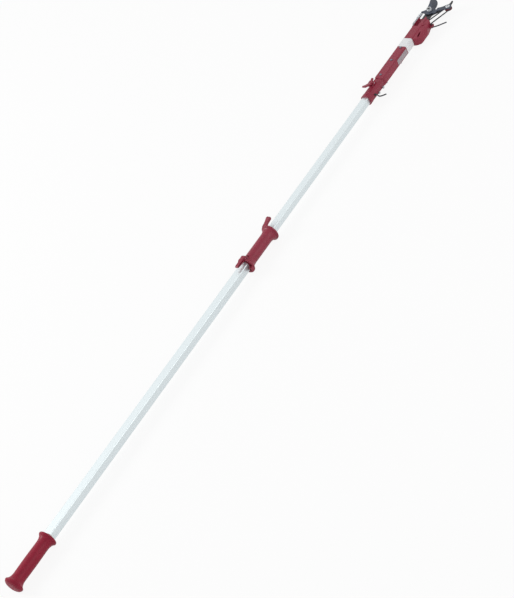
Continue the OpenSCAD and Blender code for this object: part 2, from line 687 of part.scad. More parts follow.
module counter_blade() color(black) at_pivot() difference() {
    plate(concat(
        [[shank_end, shank_half - pivot_y], [-11, shank_half - pivot_y]],
        [for (a = [134 : -12 : -34]) hub_r * unit(a)],
        [[14.4, -15], [13, -20.5], [13.4, -27]],
        toothed(),
        spline([
            [39.6, -47.7], [50.7, -49.9], [57.5, -49.7], [60, -51.4], [58.8, -55], [46.5, -57.5], [37, -57],
            [28.5, -54.5], [20, -49], [6, -36.5], [-5, -25.5], [-15, -17], [-22, -shank_half - pivot_y]
        ], 4),
        [[shank_end, -shank_half - pivot_y]]
    ), -hook_top, hook_top);
    rod_z(-20, 20, bolt_r + seat_gap);
    for (p = [saw_hole_a, saw_hole_b])
        translate([p[0], p[1], 0]) rod_z(-20, 20, saw_hole_r);
    translate([shank_screw_at[0], shank_screw_at[1], 0]) rod_z(-20, 20, shank_screw_r + seat_gap);
    plate([
        [-36, -7.3], [-34.5, -8.8], [-17, -8.8], [-15.5, -7.3], [-15.5, -0.3], [-17, 1.2], [-34.5, 1.2],
        [-36, -0.3]
    ], hook_top - 1.2, 20);
    translate([-11, 7.5, hook_top - 0.8]) rod_z(0, 5, 1.6);
}

module shank_screw() color(black) at_head(shank_screw_at) difference() {
    union() {
        translate([0, 0, pocket_floor - 2.5]) cylinder(r1 = shank_screw_r, r2 = shank_screw_r + 0.6, h = 1.2);
        rod_z(-box_back + 2.2, pocket_floor - 2.4, shank_screw_r);
    }
    hex_z(pocket_floor - 2.7, pocket_floor + 3, 3);
}

module pivot_bolt() color(black) at_pivot() {
    hex_z(-hook_top - 6.5, -hook_top - 0.05, nut_af - 1);
    rod_z(-hook_top - 1, blade_z1 + 8.8, bolt_r);
    translate([0, 0, blade_z1 + 8.7]) cylinder(r1 = bolt_r, r2 = bolt_r - 1.3, h = 1.3);
}

module pivot_nut() color(zinc) at_pivot() difference() {
    union() {
        intersection() {
            rotate([0, 0, 15]) hex_z(blade_z1 + 0.3, blade_z1 + 7.8, nut_af);
            translate([0, 0, blade_z1 - 12]) cylinder(r1 = nut_af, r2 = nut_af / 2 - 1.2, h = 22);
        }
        rod_z(blade_z1 + 7, blade_z1 + 10.4, nut_af / 2 - 0.9);
    }
    rod_z(-20, 40, bolt_r + seat_gap);
    rod_z(blade_z1 + 8, 40, bolt_r + 1.25);
}

module nut_ring() color(white) at_pivot() difference() {
    rod_z(blade_z1 + 8.05, blade_z1 + 10.1, bolt_r + 1.2);
    rod_z(-20, 40, bolt_r + seat_gap);
}

module spring_pin() color(zinc) at_head(spring_pin_at) rod_z(-5.9, spring_z + 4, spring_pin_r);

// Return spring: a hook loop in the flat at the pin, the coil, and an upright loop through the blade's eye
rings_a_turn = 8;
wire_sides = 6;
coil_pitch = (coil_x1 - coil_x0) / (spring_turns + 0.25);
function coil_point(a) = [
    coil_x0 + coil_pitch * a / 360, spring_y + coil_r * cos(a), spring_z + coil_r * sin(a)
];
coil_end = 360 * (spring_turns + 0.25);
low_loop = [
    for (a = [-100 : 20 : 90])
        [coil_x0 - loop_step - coil_r * cos(a), spring_y + coil_r * sin(a), spring_z]
];
coil_turns = [for (k = [1 : spring_turns * rings_a_turn + 1]) coil_point(360 * k / rings_a_turn)];
high_loop = [
    for (a = [90 : -20 : -100])
        [coil_x1 + loop_step + coil_r * cos(a), eye_at[1], spring_z + coil_r * sin(a)]
];
spring_path = concat(low_loop, [coil_point(20)], coil_turns, [coil_point(coil_end)], high_loop);
spring_least = min([
    for (i = [0 : 2 : len(spring_path) - 1], j = [i + 6 : len(spring_path) - 1])
        norm(spring_path[i] - spring_path[j])
]) - wire_d;
echo(spring_least_gap = spring_least);

module return_spring() color(zinc) at_pivot() tube(spring_path, wire_d / 2, wire_sides, [0.31, 0.52, 0.79]);

groove_r = cord_r + groove_gap;
module grooved_pulley(rim_r, bore_r) difference() {
    rotate_extrude() polygon(concat(
        [[bore_r, pulley_z0], [rim_r - 0.6, pulley_z0], [rim_r, pulley_z0 + 0.6]],
        [for (a = [-75 : 25 : 75]) [pitch_r - groove_r * cos(a), cord_z + groove_r * sin(a)]],
        [[rim_r, pulley_z1 - 0.6], [rim_r - 0.6, pulley_z1], [bore_r, pulley_z1]]
    ));
}

module guide_pin() color(zinc) at_head(guide_at) rod_z(-box_back + 3.1, box_front - 3.1, axle_r);
module guide_pulley() color(red) at_head(guide_at) grooved_pulley(guide_rim_r, axle_r + run_gap);
module lever_pulley() color(red) at_head(lever_at) grooved_pulley(pulley_rim_r, axle_r + run_gap);

// Cutting blade, seen from the pivot

cut_edge = spline([
    [16.5, -13], [24.1, -12.4], [33.5, -10.4], [42.6, -6.6], [50.3, -1.5], [55.7, 3.8], [62.2, 12.2],
    [67, 21.6], [68.4, 28.8]
], 4);
blade_back = spline([
    [66, 30.8], [57.9, 27.6], [47.9, 24.3], [38.1, 21.4], [27.6, 18.7], [15, 16.8], [3.3, 15.7]
], 3);
ground_line = spline([[53, 26], [51, 17], [45, 10], [34, 3.5], [25, -2], [20, -9], [17, -13.5]], 4);

lever_end_r = 11.5;
lever_outline = concat(
    spline([
        [10, -12], [8.5, -22], [8.5, -31], [14, -43], [22.4, -52.3], lever_at + lever_end_r * unit(20)
    ], 4),
    [for (a = [0 : -20 : -180]) lever_at + lever_end_r * unit(a + 10)],
    spline([
        lever_at + lever_end_r * unit(-180), [-0.2, -49], [-5.5, -36], [-8.2, -26], [-9.7, -18], [-12, -10]
    ], 4)
);

// Side view of the lever: level at the hub, a joggle, and level again over the pulley
joggle_0 = 21;
joggle_1 = 31;
lever_side = [
    [-2, blade_z0], [joggle_0 + 1, blade_z0], [joggle_1 + 1, arm_z0], [lever_len + 20, arm_z0],
    [lever_len + 20, arm_z1], [joggle_1 - 1, arm_z1], [joggle_0 - 1, blade_z1], [-2, blade_z1]
];

module cutting_blade() color("#454953") at_pivot() difference() {
    union() {
        plate(concat(cut_edge, blade_back, [for (a = [100 : 12 : 316]) hub_r * unit(a)]), blade_z0, blade_z1);
        plate([[4, 14], [eye_at[0] + 1, eye_at[1] + 3.4], [eye_at[0] - 2.6, eye_at[1] - 2.6], [-10, 10]],
            blade_z0, blade_z1);
        translate([eye_at[0], eye_at[1], 0]) rod_z(blade_z0, blade_z1, eye_r);
        intersection() {
            plate(lever_outline, 0, 40);
            rotate([0, 0, lever_angle]) across_y(lever_side, 80);
        }
    }
    rod_z(-20, 40, bolt_r + 1.5);
    translate([eye_at[0], eye_at[1], 0]) rod_z(-20, 40, 1.7);
    translate([lever_at[0], lever_at[1], 0]) rod_z(-20, 40, axle_r + seat_gap);
    plate(concat([[53, 40], [80, 40], [80, -20], [17, -20]], backward(ground_line)), blade_z1 - 1.1, 40);
}

module pivot_bush() color("#8d7a4a") at_pivot() difference() {
    rod_z(blade_z0, blade_z1, bolt_r + 1.45);
    rod_z(-20, 40, bolt_r + run_gap);
}

module pulley_screw() color("#3a3d44") at_head(lever_at) difference() {
    union() {
        rod_z(-hook_top + 0.4, arm_z1 + 0.2, axle_r);
        translate([0, 0, arm_z1 + seat_gap]) cylinder(r = 7.7, h = 1.2);
        translate([0, 0, arm_z1 + 1.2]) cylinder(r1 = 7.7, r2 = 5.6, h = 1.5);
    }
    hex_z(arm_z1 + 0.8, 60, 4);
}

module pulley_nut() color(zinc) at_head(lever_at) difference() {
    hex_z(-hook_top + 0.6, pulley_z0 - 0.3, 10);
    rod_z(-20, 20, axle_r + seat_gap);
}

// Cord

cord_sides = 8;
cord_gap = 0.1;

module cord_turn(a0, a1) rotate([0, 0, a0]) rotate_extrude(angle = a1 - a0)
    translate([pitch_r, cord_z]) circle(r = cord_r, $fn = 24);

module cord_lever_turn() color(black) at_head(lever_at) cord_turn(lug_angle - 90, strand_angle + 90);
module cord_guide_turn() color(black) at_head(guide_at) cord_turn(strand_angle + 90, 90);

module cord_body_strand() color(black) at_head(guide_at)
    rotate([0, 0, strand_angle]) translate([0, pitch_r, cord_z])
        rod_x(seat_gap, norm(lever_at - guide_at) - seat_gap, cord_r);

module cord_lug_strand() color(black) at_head(lug_hole)
    rotate([0, 0, lug_angle]) translate([0, 0, cord_z])
        rod_x(lug_bend + cord_gap, lug_tangent - seat_gap, cord_r);

lug_knot_r = 4;
lug_plate_z0 = -4;
module cord_lug_end() color(black) at_head(lug_hole) rotate([0, 0, lug_angle])
    tube([[0, 0, lug_plate_z0], [0, 0, -1], [0.2, 0, 1.5], [1.1, 0, cord_z - 2.6], [3, 0, cord_z - 0.5],
        [lug_bend - 1.4, 0, cord_z], [lug_bend, 0, cord_z]], cord_r, cord_sides, [0, 1, 0]);

module cord_lug_knot() color(black) at_head(lug_hole)
    translate([0, 0, lug_plate_z0 - lug_knot_r - seat_gap]) sphere(r = lug_knot_r);

// Free tails, as hand-chosen places: the first from the lug's knot, the second from the collar's knot
lug_tail_route = [
    [1.6, -4.1, -8], [4.5, -9, -8.2], [9.5, -15.5, -8.6],
    [16, -22, -9.2], [23.5, -28.5, -10], [31, -36, -10.6]
];
collar_tail_route = [
    [0, -4.4, 0], [-2, -9, -0.4], [-4, -14, -1], [-2, -20, -1.8], [4, -26, -2.8], [11, -31, -4]
];

module lug_tail() color(black) at_head(lug_hole)
    tube(spline(lug_tail_route, 3), cord_r, cord_sides, [0, 0, 1]);

collar_knot_r = 4;
module collar_knot() color(black)
    translate([cord_exit_x, -collar_w / 2 - collar_knot_r - seat_gap, cord_exit_z]) sphere(r = collar_knot_r);

module collar_tail() color(black)
    translate([cord_exit_x, -collar_w / 2 - collar_knot_r - seat_gap, cord_exit_z])
        tube(spline(collar_tail_route, 3), cord_r, cord_sides, [0, 0, 1]);

// Run from the guide pulley down inside the upper tube and out through the collar's side
cord_inner_route = [
    [pivot_x + guide_at[0] - cord_gap, pivot_y + guide_at[1] + pitch_r, cord_z],
    [pivot_x + guide_at[0] - 3, pivot_y + guide_at[1] + pitch_r, cord_z],
    [pivot_x + guide_at[0] - 12, -8.2, cord_z - 0.1],
    [upper_x1 + 4, -7.4, 5.5], [upper_x1 - 10, -6.6, 5.1],
    [upper_x1 - 40, -5.6, 5], [upper_x1 - 120, -5.5, 5],
    [cord_exit_x + 30, -5.5, 5], [cord_exit_x + 12, -5.6, 4.4], [cord_exit_x + 5, -6.5, 3.4],
    [cord_exit_x + 1.4, -8.8, 2.5], [cord_exit_x + 0.2, -12, 2.1], [cord_exit_x, -collar_w / 2, cord_exit_z]
];
module cord_inner() color(black) tube(spline(cord_inner_route, 3), cord_r, cord_sides, [0, 0, 1]);

lower_tube();
end_grip();
tube_plug();
grip_screw();
grip_ferrule();
mid_grip();
top_bush();
grip_set_screws();
clamp_pin();
clamp_lever();
clamp_shoe();
upper_tube();
slider_plug();
collar();
collar_bolts();
collar_nuts();
latch_pin();
latch();
tube_head_plug();
collar_knot();
collar_tail();
housing_front();
housing_back();
glide_strip();
glide_screws();
shell_screws();
label_band();
side_plate();
counter_blade();
shank_screw();
pivot_bolt();
pivot_nut();
nut_ring();
spring_pin();
return_spring();
guide_pin();
guide_pulley();
cutting_blade();
pivot_bush();
pulley_screw();
pulley_nut();
lever_pulley();
cord_lug_knot();
lug_tail();
cord_lug_end();
cord_lug_strand();
cord_lever_turn();
cord_body_strand();
cord_guide_turn();
cord_inner();
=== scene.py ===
import math

import bpy
from mathutils import Matrix, Vector


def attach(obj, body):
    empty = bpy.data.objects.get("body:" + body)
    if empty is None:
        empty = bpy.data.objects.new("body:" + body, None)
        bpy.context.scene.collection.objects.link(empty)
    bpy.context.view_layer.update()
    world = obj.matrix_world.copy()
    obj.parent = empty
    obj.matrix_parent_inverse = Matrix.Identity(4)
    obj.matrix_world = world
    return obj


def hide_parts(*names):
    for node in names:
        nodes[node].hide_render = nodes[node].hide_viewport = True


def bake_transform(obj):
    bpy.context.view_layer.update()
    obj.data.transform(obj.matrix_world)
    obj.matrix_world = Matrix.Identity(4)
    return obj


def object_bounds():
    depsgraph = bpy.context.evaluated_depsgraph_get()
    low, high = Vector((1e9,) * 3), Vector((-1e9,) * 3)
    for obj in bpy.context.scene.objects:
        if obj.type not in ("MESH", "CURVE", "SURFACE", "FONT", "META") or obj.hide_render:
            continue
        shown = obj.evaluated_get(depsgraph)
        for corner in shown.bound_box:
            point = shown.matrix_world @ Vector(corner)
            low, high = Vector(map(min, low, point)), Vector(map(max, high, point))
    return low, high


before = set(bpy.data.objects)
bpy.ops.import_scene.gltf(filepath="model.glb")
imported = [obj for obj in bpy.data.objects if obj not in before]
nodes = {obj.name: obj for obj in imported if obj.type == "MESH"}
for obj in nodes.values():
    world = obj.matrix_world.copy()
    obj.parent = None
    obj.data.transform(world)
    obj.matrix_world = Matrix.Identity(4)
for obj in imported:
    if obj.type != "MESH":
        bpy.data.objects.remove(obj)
cad_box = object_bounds()
MM = 0.001


def flat(angle):
    """A unit vector in the head's plane."""
    return Vector((math.cos(angle), math.sin(angle), 0.0))


# Places from the part's source, in millimetres; those of the head are measured from the pivot

PIVOT = Vector((2300.0, 2.0, 0.0))
CORD_R = 2.0
CORD_Z = 6.1
PITCH_R = 9.5
LEVER_LEN = 64.0
LEVER_ANGLE = math.radians(-75.4)
LEVER_END_R = 11.5
LEVER = LEVER_LEN * flat(LEVER_ANGLE)
GUIDE = Vector((-78.5, -20.0, 0.0))
LUG = Vector((-62.8, -39.0, 0.0))
SPRING_EYE = Vector((-6.9, 24.0))
HUB_R = 16.0
BLADE_Z0, BLADE_Z1 = 2.2, 5.7
ARM_Z0 = 9.9
HOOK_TOP = 1.8
CORD_EXIT = Vector((1897.0, -20.05, 2.0))
UPPER_X1 = 2192.0
GRIP_LEN = 160.0


# Camera at the photograph's angle

PHOTO_H = 598.0
FOCAL_PIXELS = 1647.8
SENSOR_H = 24.0
eye = Vector((-1.1791, -2.8872, 2.8721))
right = Vector((0.50774, -0.78133, -0.36294))
up = Vector((0.71168, 0.14298, 0.6878))
back = Vector((-0.4855, -0.60752, 0.62865))
camera_data = bpy.data.cameras.new("camera")
camera_data.sensor_fit = "VERTICAL"
camera_data.sensor_height = SENSOR_H
camera_data.lens = FOCAL_PIXELS * SENSOR_H / PHOTO_H
camera_data.clip_end = 100.0
camera = bpy.data.objects.new("camera", camera_data)
camera.matrix_world = Matrix((
    (right.x, up.x, back.x, eye.x),
    (right.y, up.y, back.y, eye.y),
    (right.z, up.z, back.z, eye.z),
    (0.0, 0.0, 0.0, 1.0),
))
bpy.context.scene.collection.objects.link(camera)
bpy.context.scene.camera = camera


# Lines and outlines

def spline(points, steps):
    """Points of a smooth curve through the given ones."""
    out = []
    for i in range(len(points) - 1):
        a, b = points[max(i - 1, 0)], points[i]
        c, d = points[i + 1], points[min(i + 2, len(points) - 1)]
        for k in range(steps):
            t = k / steps
            out.append(0.5 * (2 * b + (c - a) * t + (2 * a - 5 * b + 4 * c - d) * t * t
                              + (3 * b - a - 3 * c + d) * t * t * t))
    out.append(points[-1].copy())
    return out


def along(points, steps):
    """The same in the head's plane, from pairs."""
    return [p.to_2d() for p in spline([Vector((*q, 0.0)) for q in points], steps)]


def resampled(line, count):
    """The line again, with points evenly spaced along it."""
    gone = [0.0]
    for i in range(1, len(line)):
        gone.append(gone[-1] + (line[i] - line[i - 1]).length)
    out, k = [], 0
    for j in range(count):
        want = gone[-1] * j / (count - 1)
        while k < len(line) - 2 and gone[k + 1] < want:
            k += 1
        t = (want - gone[k]) / max(gone[k + 1] - gone[k], 1e-9)
        out.append(line[k].lerp(line[k + 1], min(max(t, 0.0), 1.0)))
    return out


def round_corners(centres, radius):
    """A rectangle's outline from the centres of its four corner arcs, the first corner at plus plus."""
    ring = []
    for quarter, centre in enumerate(centres):
        start = 90 * quarter
        ring += [Vector((*centre, 0.0)) + radius * flat(math.radians(start + 15 * k)) for k in range(7)]
    return ring


# Meshes

MERGE_WITHIN = 0.005 * MM
DRILL_LEN = 60.0
CUT_PAST = 5.0  # how far a cutter stands out of what it cuts


def choose(piece):
    """Makes a piece the only selected and active one."""
    bpy.ops.object.select_all(action="DESELECT")
    piece.select_set(True)
    bpy.context.view_layer.objects.active = piece


def raw_mesh(name, verts, faces=(), edges=()):
    """A mesh object from points in millimetres."""
    mesh = bpy.data.meshes.new(name)
    mesh.from_pydata([tuple(Vector(v) * MM) for v in verts], edges, faces)
    mesh.update()
    piece = bpy.data.objects.new(name, mesh)
    bpy.context.scene.collection.objects.link(piece)
    return piece


def enter(piece, body, stands_for):
    """Enters a piece in the frame: the body it rides on, if just one and the node it stands for."""
    if body:
        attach(piece, body)
    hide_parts(stands_for)


def finish_mesh(piece, angle, bevel=0.0):
    """Merges close points, turns faces outwards, bevels edges where asked and smooths below an angle."""
    choose(piece)
    bpy.ops.object.mode_set(mode="EDIT")
    bpy.ops.mesh.select_all(action="SELECT")
    bpy.ops.mesh.remove_doubles(threshold=MERGE_WITHIN)
    bpy.ops.mesh.dissolve_degenerate(threshold=MERGE_WITHIN)
    bpy.ops.mesh.normals_make_consistent(inside=False)
    bpy.ops.object.mode_set(mode="OBJECT")
    if bevel:
        rounding = piece.modifiers.new("rounding", "BEVEL")
        rounding.width = bevel * MM
        rounding.segments = 2
        rounding.limit_method = "ANGLE"
        rounding.angle_limit = math.radians(angle)
        bpy.ops.object.modifier_apply(modifier="rounding")
    bpy.ops.object.shade_smooth_by_angle(angle=math.radians(angle))


def prism(name, ring, rise):
    """A closed bar: an outline in millimetres, extruded."""
    bar = raw_mesh(name, ring, [tuple(range(len(ring)))])
    choose(bar)
    bpy.ops.object.mode_set(mode="EDIT")
    bpy.ops.mesh.select_all(action="SELECT")
    bpy.ops.mesh.extrude_region_move(TRANSFORM_OT_translate={"value": tuple(Vector(rise) * MM)})
    bpy.ops.object.mode_set(mode="OBJECT")
    finish_mesh(bar, 40.0)
    return bar


def rod(radius, length, centre):
    """A round bar along Z."""
    bpy.ops.object.select_all(action="DESELECT")
    bpy.ops.mesh.primitive_cylinder_add(vertices=40, radius=radius * MM, depth=length * MM,
                                        location=Vector(centre) * MM)
    return bpy.context.active_object


def combine(piece, other, operation):
    """Joins another mesh to a piece, or cuts it out of the piece."""
    choose(piece)
    step = piece.modifiers.new("combine", "BOOLEAN")
    step.operation = operation
    step.solver = "EXACT"
    step.object = other
    bpy.ops.object.modifier_apply(modifier="combine")
    bpy.data.objects.remove(other, do_unlink=True)


def drill(piece, x, y, radius):
    """Cuts a round hole through a flat piece of the head."""
    combine(piece, rod(radius, DRILL_LEN, PIVOT + Vector((x, y, 0.0))), "DIFFERENCE")


def swept(name, path, radius, body, stands_for, sides=12):
    """A round tube along a path, with a UV map: U runs along it in millimetres, V round it."""
    count = len(path)
    tangents = [(path[min(i + 1, count - 1)] - path[max(i - 1, 0)]).normalized() for i in range(count)]
    side = tangents[0].orthogonal().normalized()
    verts, gone, run = [], [], 0.0
    for i in range(count):
        side = (side - tangents[i] * side.dot(tangents[i])).normalized()
        other = tangents[i].cross(side)
        if i:
            run += (path[i] - path[i - 1]).length
        gone.append(run)
        for k in range(sides):
            turn = 2 * math.pi * k / sides
            verts.append(path[i] + radius * (math.cos(turn) * side + math.sin(turn) * other))
    faces = []
    for i in range(count - 1):
        for k in range(sides):
            n = (k + 1) % sides
            faces.append((i * sides + k, i * sides + n, (i + 1) * sides + n, (i + 1) * sides + k))
    faces.append(tuple(reversed(range(sides))))
    faces.append(tuple((count - 1) * sides + k for k in range(sides)))
    piece = raw_mesh(name, verts, faces)
    enter(piece, body, stands_for)
    layer = piece.data.uv_layers.new(name="run")
    for face in piece.data.polygons:
        ring = [piece.data.loops[j].vertex_index % sides for j in face.loop_indices]
        seam = max(ring) - min(ring) > sides // 2
        for j in face.loop_indices:
            v = piece.data.loops[j].vertex_index
            k = v % sides
            layer.data[j].uv = (gone[v // sides], (k + (sides if seam and k == 0 else 0)) / sides)
    choose(piece)
    bpy.ops.object.shade_smooth_by_angle(angle=math.radians(50))
    return piece


# Free cord tails: where each leaves its knot, its own length, its cut end

TAIL_STEPS = 6
lug_tail_route = [
    (1.6, -4.1, -8), (4.5, -9, -8.2), (9.5, -15.5, -8.6),
    (16, -22, -9.2), (23.5, -28.5, -10), (31, -36, -10.6),
]
collar_tail_route = [
    (0, -4.4, 0), (-2, -9, -0.4), (-4, -14, -1), (-2, -20, -1.8), (4, -26, -2.8), (11, -31, -4),
]
lug_tail_path = spline([PIVOT + LUG + Vector(p) for p in lug_tail_route], TAIL_STEPS)
collar_tail_path = spline([CORD_EXIT + Vector(p) for p in collar_tail_route], TAIL_STEPS)
tail_list = (("lug_tail", lug_tail_path, "head"), ("collar_tail", collar_tail_path, "upper_pole"))
tails = []
for name, path, body in tail_list:
    piece = swept(name + "_braid", path, CORD_R, body, name)
    tails.append(piece)


# Taut cord: from its knot at the lug round the lever's pulley, round the guide pulley and down the tube

STRAND_STEPS = 24
LUG_BEND = 6.0
level = Vector((0.0, 0.0, CORD_Z))
strand_a = math.atan2(LEVER.y - GUIDE.y, LEVER.x - GUIDE.x)
strand_off = PITCH_R * flat(strand_a + math.pi / 2)
to_lever = LEVER - LUG
lug_a = math.atan2(to_lever.y, to_lever.x) - math.asin(PITCH_R / to_lever.length)
lug_run = math.sqrt(to_lever.length ** 2 - PITCH_R ** 2)

body_line, lug_line = [], []
for k in range(STRAND_STEPS + 1):
    t = k / STRAND_STEPS
    body_line.append(PIVOT + level + GUIDE.lerp(LEVER, t) + strand_off)
    lug_line.append(PIVOT + level + LUG + flat(lug_a) * (LUG_BEND + (lug_run - LUG_BEND) * t))


def turn_round(centre, start, end, steps):
    """The cord's arc round a pulley."""
    span = end - start
    return [PIVOT + level + centre + PITCH_R * flat(start + span * k / steps) for k in range(steps + 1)]


lever_turn = turn_round(LEVER, lug_a - math.pi / 2, strand_a + math.pi / 2, 40)
guide_turn = turn_round(GUIDE, strand_a + math.pi / 2, math.pi / 2, 8)
lug_end_route = (
    (0, -4), (0, -1), (0.2, 1.5), (1.1, CORD_Z - 2.6), (3, CORD_Z - 0.5), (4.6, CORD_Z), (LUG_BEND, CORD_Z),
)
lug_end = spline([PIVOT + LUG + flat(lug_a) * s + Vector((0.0, 0.0, z)) for s, z in lug_end_route], 5)
guide_x, guide_top = PIVOT.x + GUIDE.x, PIVOT.y + GUIDE.y + PITCH_R
exit_x = CORD_EXIT.x
inner_line = spline([Vector(p) for p in (
    (guide_x, guide_top, CORD_Z), (guide_x - 3, guide_top, CORD_Z), (guide_x - 12, -8.2, CORD_Z - 0.1),
    (UPPER_X1 + 4, -7.4, 5.5), (UPPER_X1 - 10, -6.6, 5.1), (UPPER_X1 - 40, -5.6, 5),
    (UPPER_X1 - 120, -5.5, 5), (exit_x + 30, -5.5, 5), (exit_x + 12, -5.6, 4.4), (exit_x + 5, -6.5, 3.4),
    (exit_x + 1.4, -8.8, 2.5), (exit_x + 0.2, -12, 2.1), (exit_x, -16, 2),
)], 6)

body_strand = swept("body_strand_braid", body_line, CORD_R, None, "cord_body_strand")
lug_strand = swept("lug_strand_braid", lug_line, CORD_R, None, "cord_lug_strand")
inner_run = swept("inner_braid", inner_line, CORD_R, None, "cord_inner")
runs = [
    body_strand, lug_strand, inner_run,
    swept("lever_turn_braid", lever_turn, CORD_R, "blade", "cord_lever_turn"),
    swept("guide_turn_braid", guide_turn, CORD_R, "head", "cord_guide_turn"),
    swept("lug_end_braid", lug_end, CORD_R, "head", "cord_lug_end"),
]
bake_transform(body_strand)
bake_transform(lug_strand)
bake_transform(inner_run)


# Knots

KNOT_SIZE = 0.72
KNOT_CORD_R = 1.75
KNOT_STEPS = 96


def knot(name, centre, axis, body, stands_for):
    """An overhand knot drawn tight: one cord wound three ways round itself."""
    turn = Vector((0, 0, 1)).rotation_difference(axis).to_matrix()
    path = []
    for k in range(KNOT_STEPS + 1):
        t = 2 * math.pi * k / KNOT_STEPS
        x = math.sin(t) + 2 * math.sin(2 * t)
        y = math.cos(t) - 2 * math.cos(2 * t)
        path.append(centre + turn @ (KNOT_SIZE * Vector((x, y, -1.25 * math.sin(3 * t)))))
    return swept(name, path, KNOT_CORD_R, body, stands_for, sides=10)


def knot_end(name, centre, tail, body, stands_for):
    """The short stretch of cord from a knot's middle to its tail, a hair thinner than the tail."""
    path = [centre.lerp(tail[1], k / 6) for k in range(7)]
    return swept(name, path, CORD_R - 0.02, body, stands_for)


lug_middle = PIVOT + LUG + Vector((0, 0, -8.05))
knots = [
    knot("lug_knot_braid", lug_middle, Vector((0, 0, 1)), "head", "cord_lug_knot"),
    knot_end("lug_knot_end_braid", lug_middle, lug_tail_path, "head", "cord_lug_knot"),
    knot("collar_knot_braid", CORD_EXIT, Vector((0, 1, 0)), "upper_pole", "collar_knot"),
    knot_end("collar_knot_end_braid", CORD_EXIT, collar_tail_path, "upper_pole", "collar_knot"),
]


# Return spring: the same wire as the solid's, drawn round

COIL_R = 4.5
WIRE_R = 0.75
TURNS = 22.25
HOOK_REACH = 3.0
SPRING_Y = 23.5
SPRING_Z = (BLADE_Z0 + BLADE_Z1) / 2
COIL_X0 = -64.0
COIL_X1 = SPRING_EYE.x - HOOK_REACH - COIL_R

wire = []
for degrees in range(-100, 90, 10):
    a = math.radians(degrees)
    wire.append(Vector((COIL_X0 - HOOK_REACH - COIL_R * math.cos(a),
                        SPRING_Y + COIL_R * math.sin(a), SPRING_Z)))
coil_steps = int(TURNS * 20)
for k in range(2, coil_steps + 1):
    a = 2 * math.pi * TURNS * k / coil_steps
    wire.append(Vector((COIL_X0 + (COIL_X1 - COIL_X0) * k / coil_steps,
                        SPRING_Y + COIL_R * math.cos(a), SPRING_Z + COIL_R * math.sin(a))))
for degrees in range(80, -101, -10):
    a = math.radians(degrees)
    wire.append(Vector((COIL_X1 + HOOK_REACH + COIL_R * math.cos(a),
                        SPRING_EYE.y, SPRING_Z + COIL_R * math.sin(a))))
spring = swept("spring_wire", [PIVOT + w for w in wire], WIRE_R, None, "return_spring", sides=8)
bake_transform(spring)


# Cutting blade: a plate with a ground face. Its top falls away along a curve, so it is drawn point by point

EDGE_STEPS = 40
EDGE_LAND = 0.3
edge_low = BLADE_Z0 + EDGE_LAND
cut_edge = resampled(along((
    (16.5, -13), (24.1, -12.4), (33.5, -10.4), (42.6, -6.6), (50.3, -1.5), (55.7, 3.8), (62.2, 12.2),
    (67, 21.6), (68.4, 28.8),
), 6), EDGE_STEPS)
ground = resampled(along((
    (17.2, 3.6), (23, 4.4), (28.9, 6.4), (36.2, 11), (42.5, 16.4), (48.6, 22.6),
), 6), EDGE_STEPS)
thin_back = [(66, 30.8, edge_low + 0.5), (57.9, 27.6, edge_low + 2.2)]
blade_back = along(((47.9, 24.3), (38.1, 21.4), (27.6, 18.7), (15, 16.8), (3.3, 15.7)), 4)
hub = [HUB_R * flat(math.radians(a)).to_2d() for a in range(106, 317, 6)]

verts = [(*p, BLADE_Z1) for p in ground]
edge_at = len(verts)
verts += [(*p, edge_low) for p in cut_edge]
tip_at = len(verts)
verts += thin_back
back_at = len(verts)
verts += [(*p, BLADE_Z1) for p in blade_back + hub]
heel_at = len(verts)
verts.append((*cut_edge[0], BLADE_Z1))
under_at = len(verts)
rim = list(range(edge_at, heel_at))
verts += [(verts[i][0], verts[i][1], BLADE_Z0) for i in rim]
last = edge_at - 1
# The grind starts at a step across the plate, from the heel of the edge to nothing
faces = [(0, heel_at, edge_at)]
faces += [(i, edge_at + i, edge_at + i + 1, i + 1) for i in range(last)]
faces += [(last, tip_at - 1, tip_at), (last, tip_at, tip_at + 1), (last, tip_at + 1, back_at)]
faces.append((heel_at, *range(edge_at), *range(back_at, heel_at)))
faces.append(tuple(under_at + k for k in reversed(range(len(rim)))))
faces += [(rim[k], under_at + k, under_at + k + 1, rim[k + 1]) for k in range(len(rim) - 1)]
faces.append((rim[-1], under_at + len(rim) - 1, under_at, rim[0], heel_at))
blade = raw_mesh("blade_plate", [PIVOT + Vector(v) for v in verts], faces)
enter(blade, "blade", "cutting_blade")
finish_mesh(blade, 12.0)


# Blade's lever: one strip of steel, set up by a double bend and rounded at its end

LEVER_ROOT = 11.0
BEND_START, BEND_LEN = 21.0, 10.0
END_BLEND = 3.5
LEVER_ROWS = 100
END_ROWS = 24
END_STEP = 3.6
rise = ARM_Z0 - BLADE_Z0
out_dir, side_dir = flat(LEVER_ANGLE).to_2d(), flat(LEVER_ANGLE + math.pi / 2).to_2d()
near_end = (LEVER + LEVER_END_R * flat(math.radians(20))).to_2d()
far_end = (LEVER - LEVER_END_R * flat(0.0)).to_2d()
near_side = along(((10, -12), (8.5, -22), (8.5, -31), (14, -43), (22.4, -52.3), near_end), 6)
far_side = along((far_end, (-0.2, -49), (-5.5, -36), (-8.2, -26), (-9.7, -18), (-12, -10)), 6)


def reach(line, s):
    """How far a side of the lever stands off its middle line, s millimetres from the pivot."""
    spots = sorted((p.dot(out_dir), p.dot(side_dir)) for p in line)
    for (s0, t0), (s1, t1) in zip(spots, spots[1:]):
        if s0 <= s <= s1:
            return t0 + (t1 - t0) * (s - s0) / max(s1 - s0, 1e-9)
    return spots[0][1] if s < spots[0][0] else spots[-1][1]


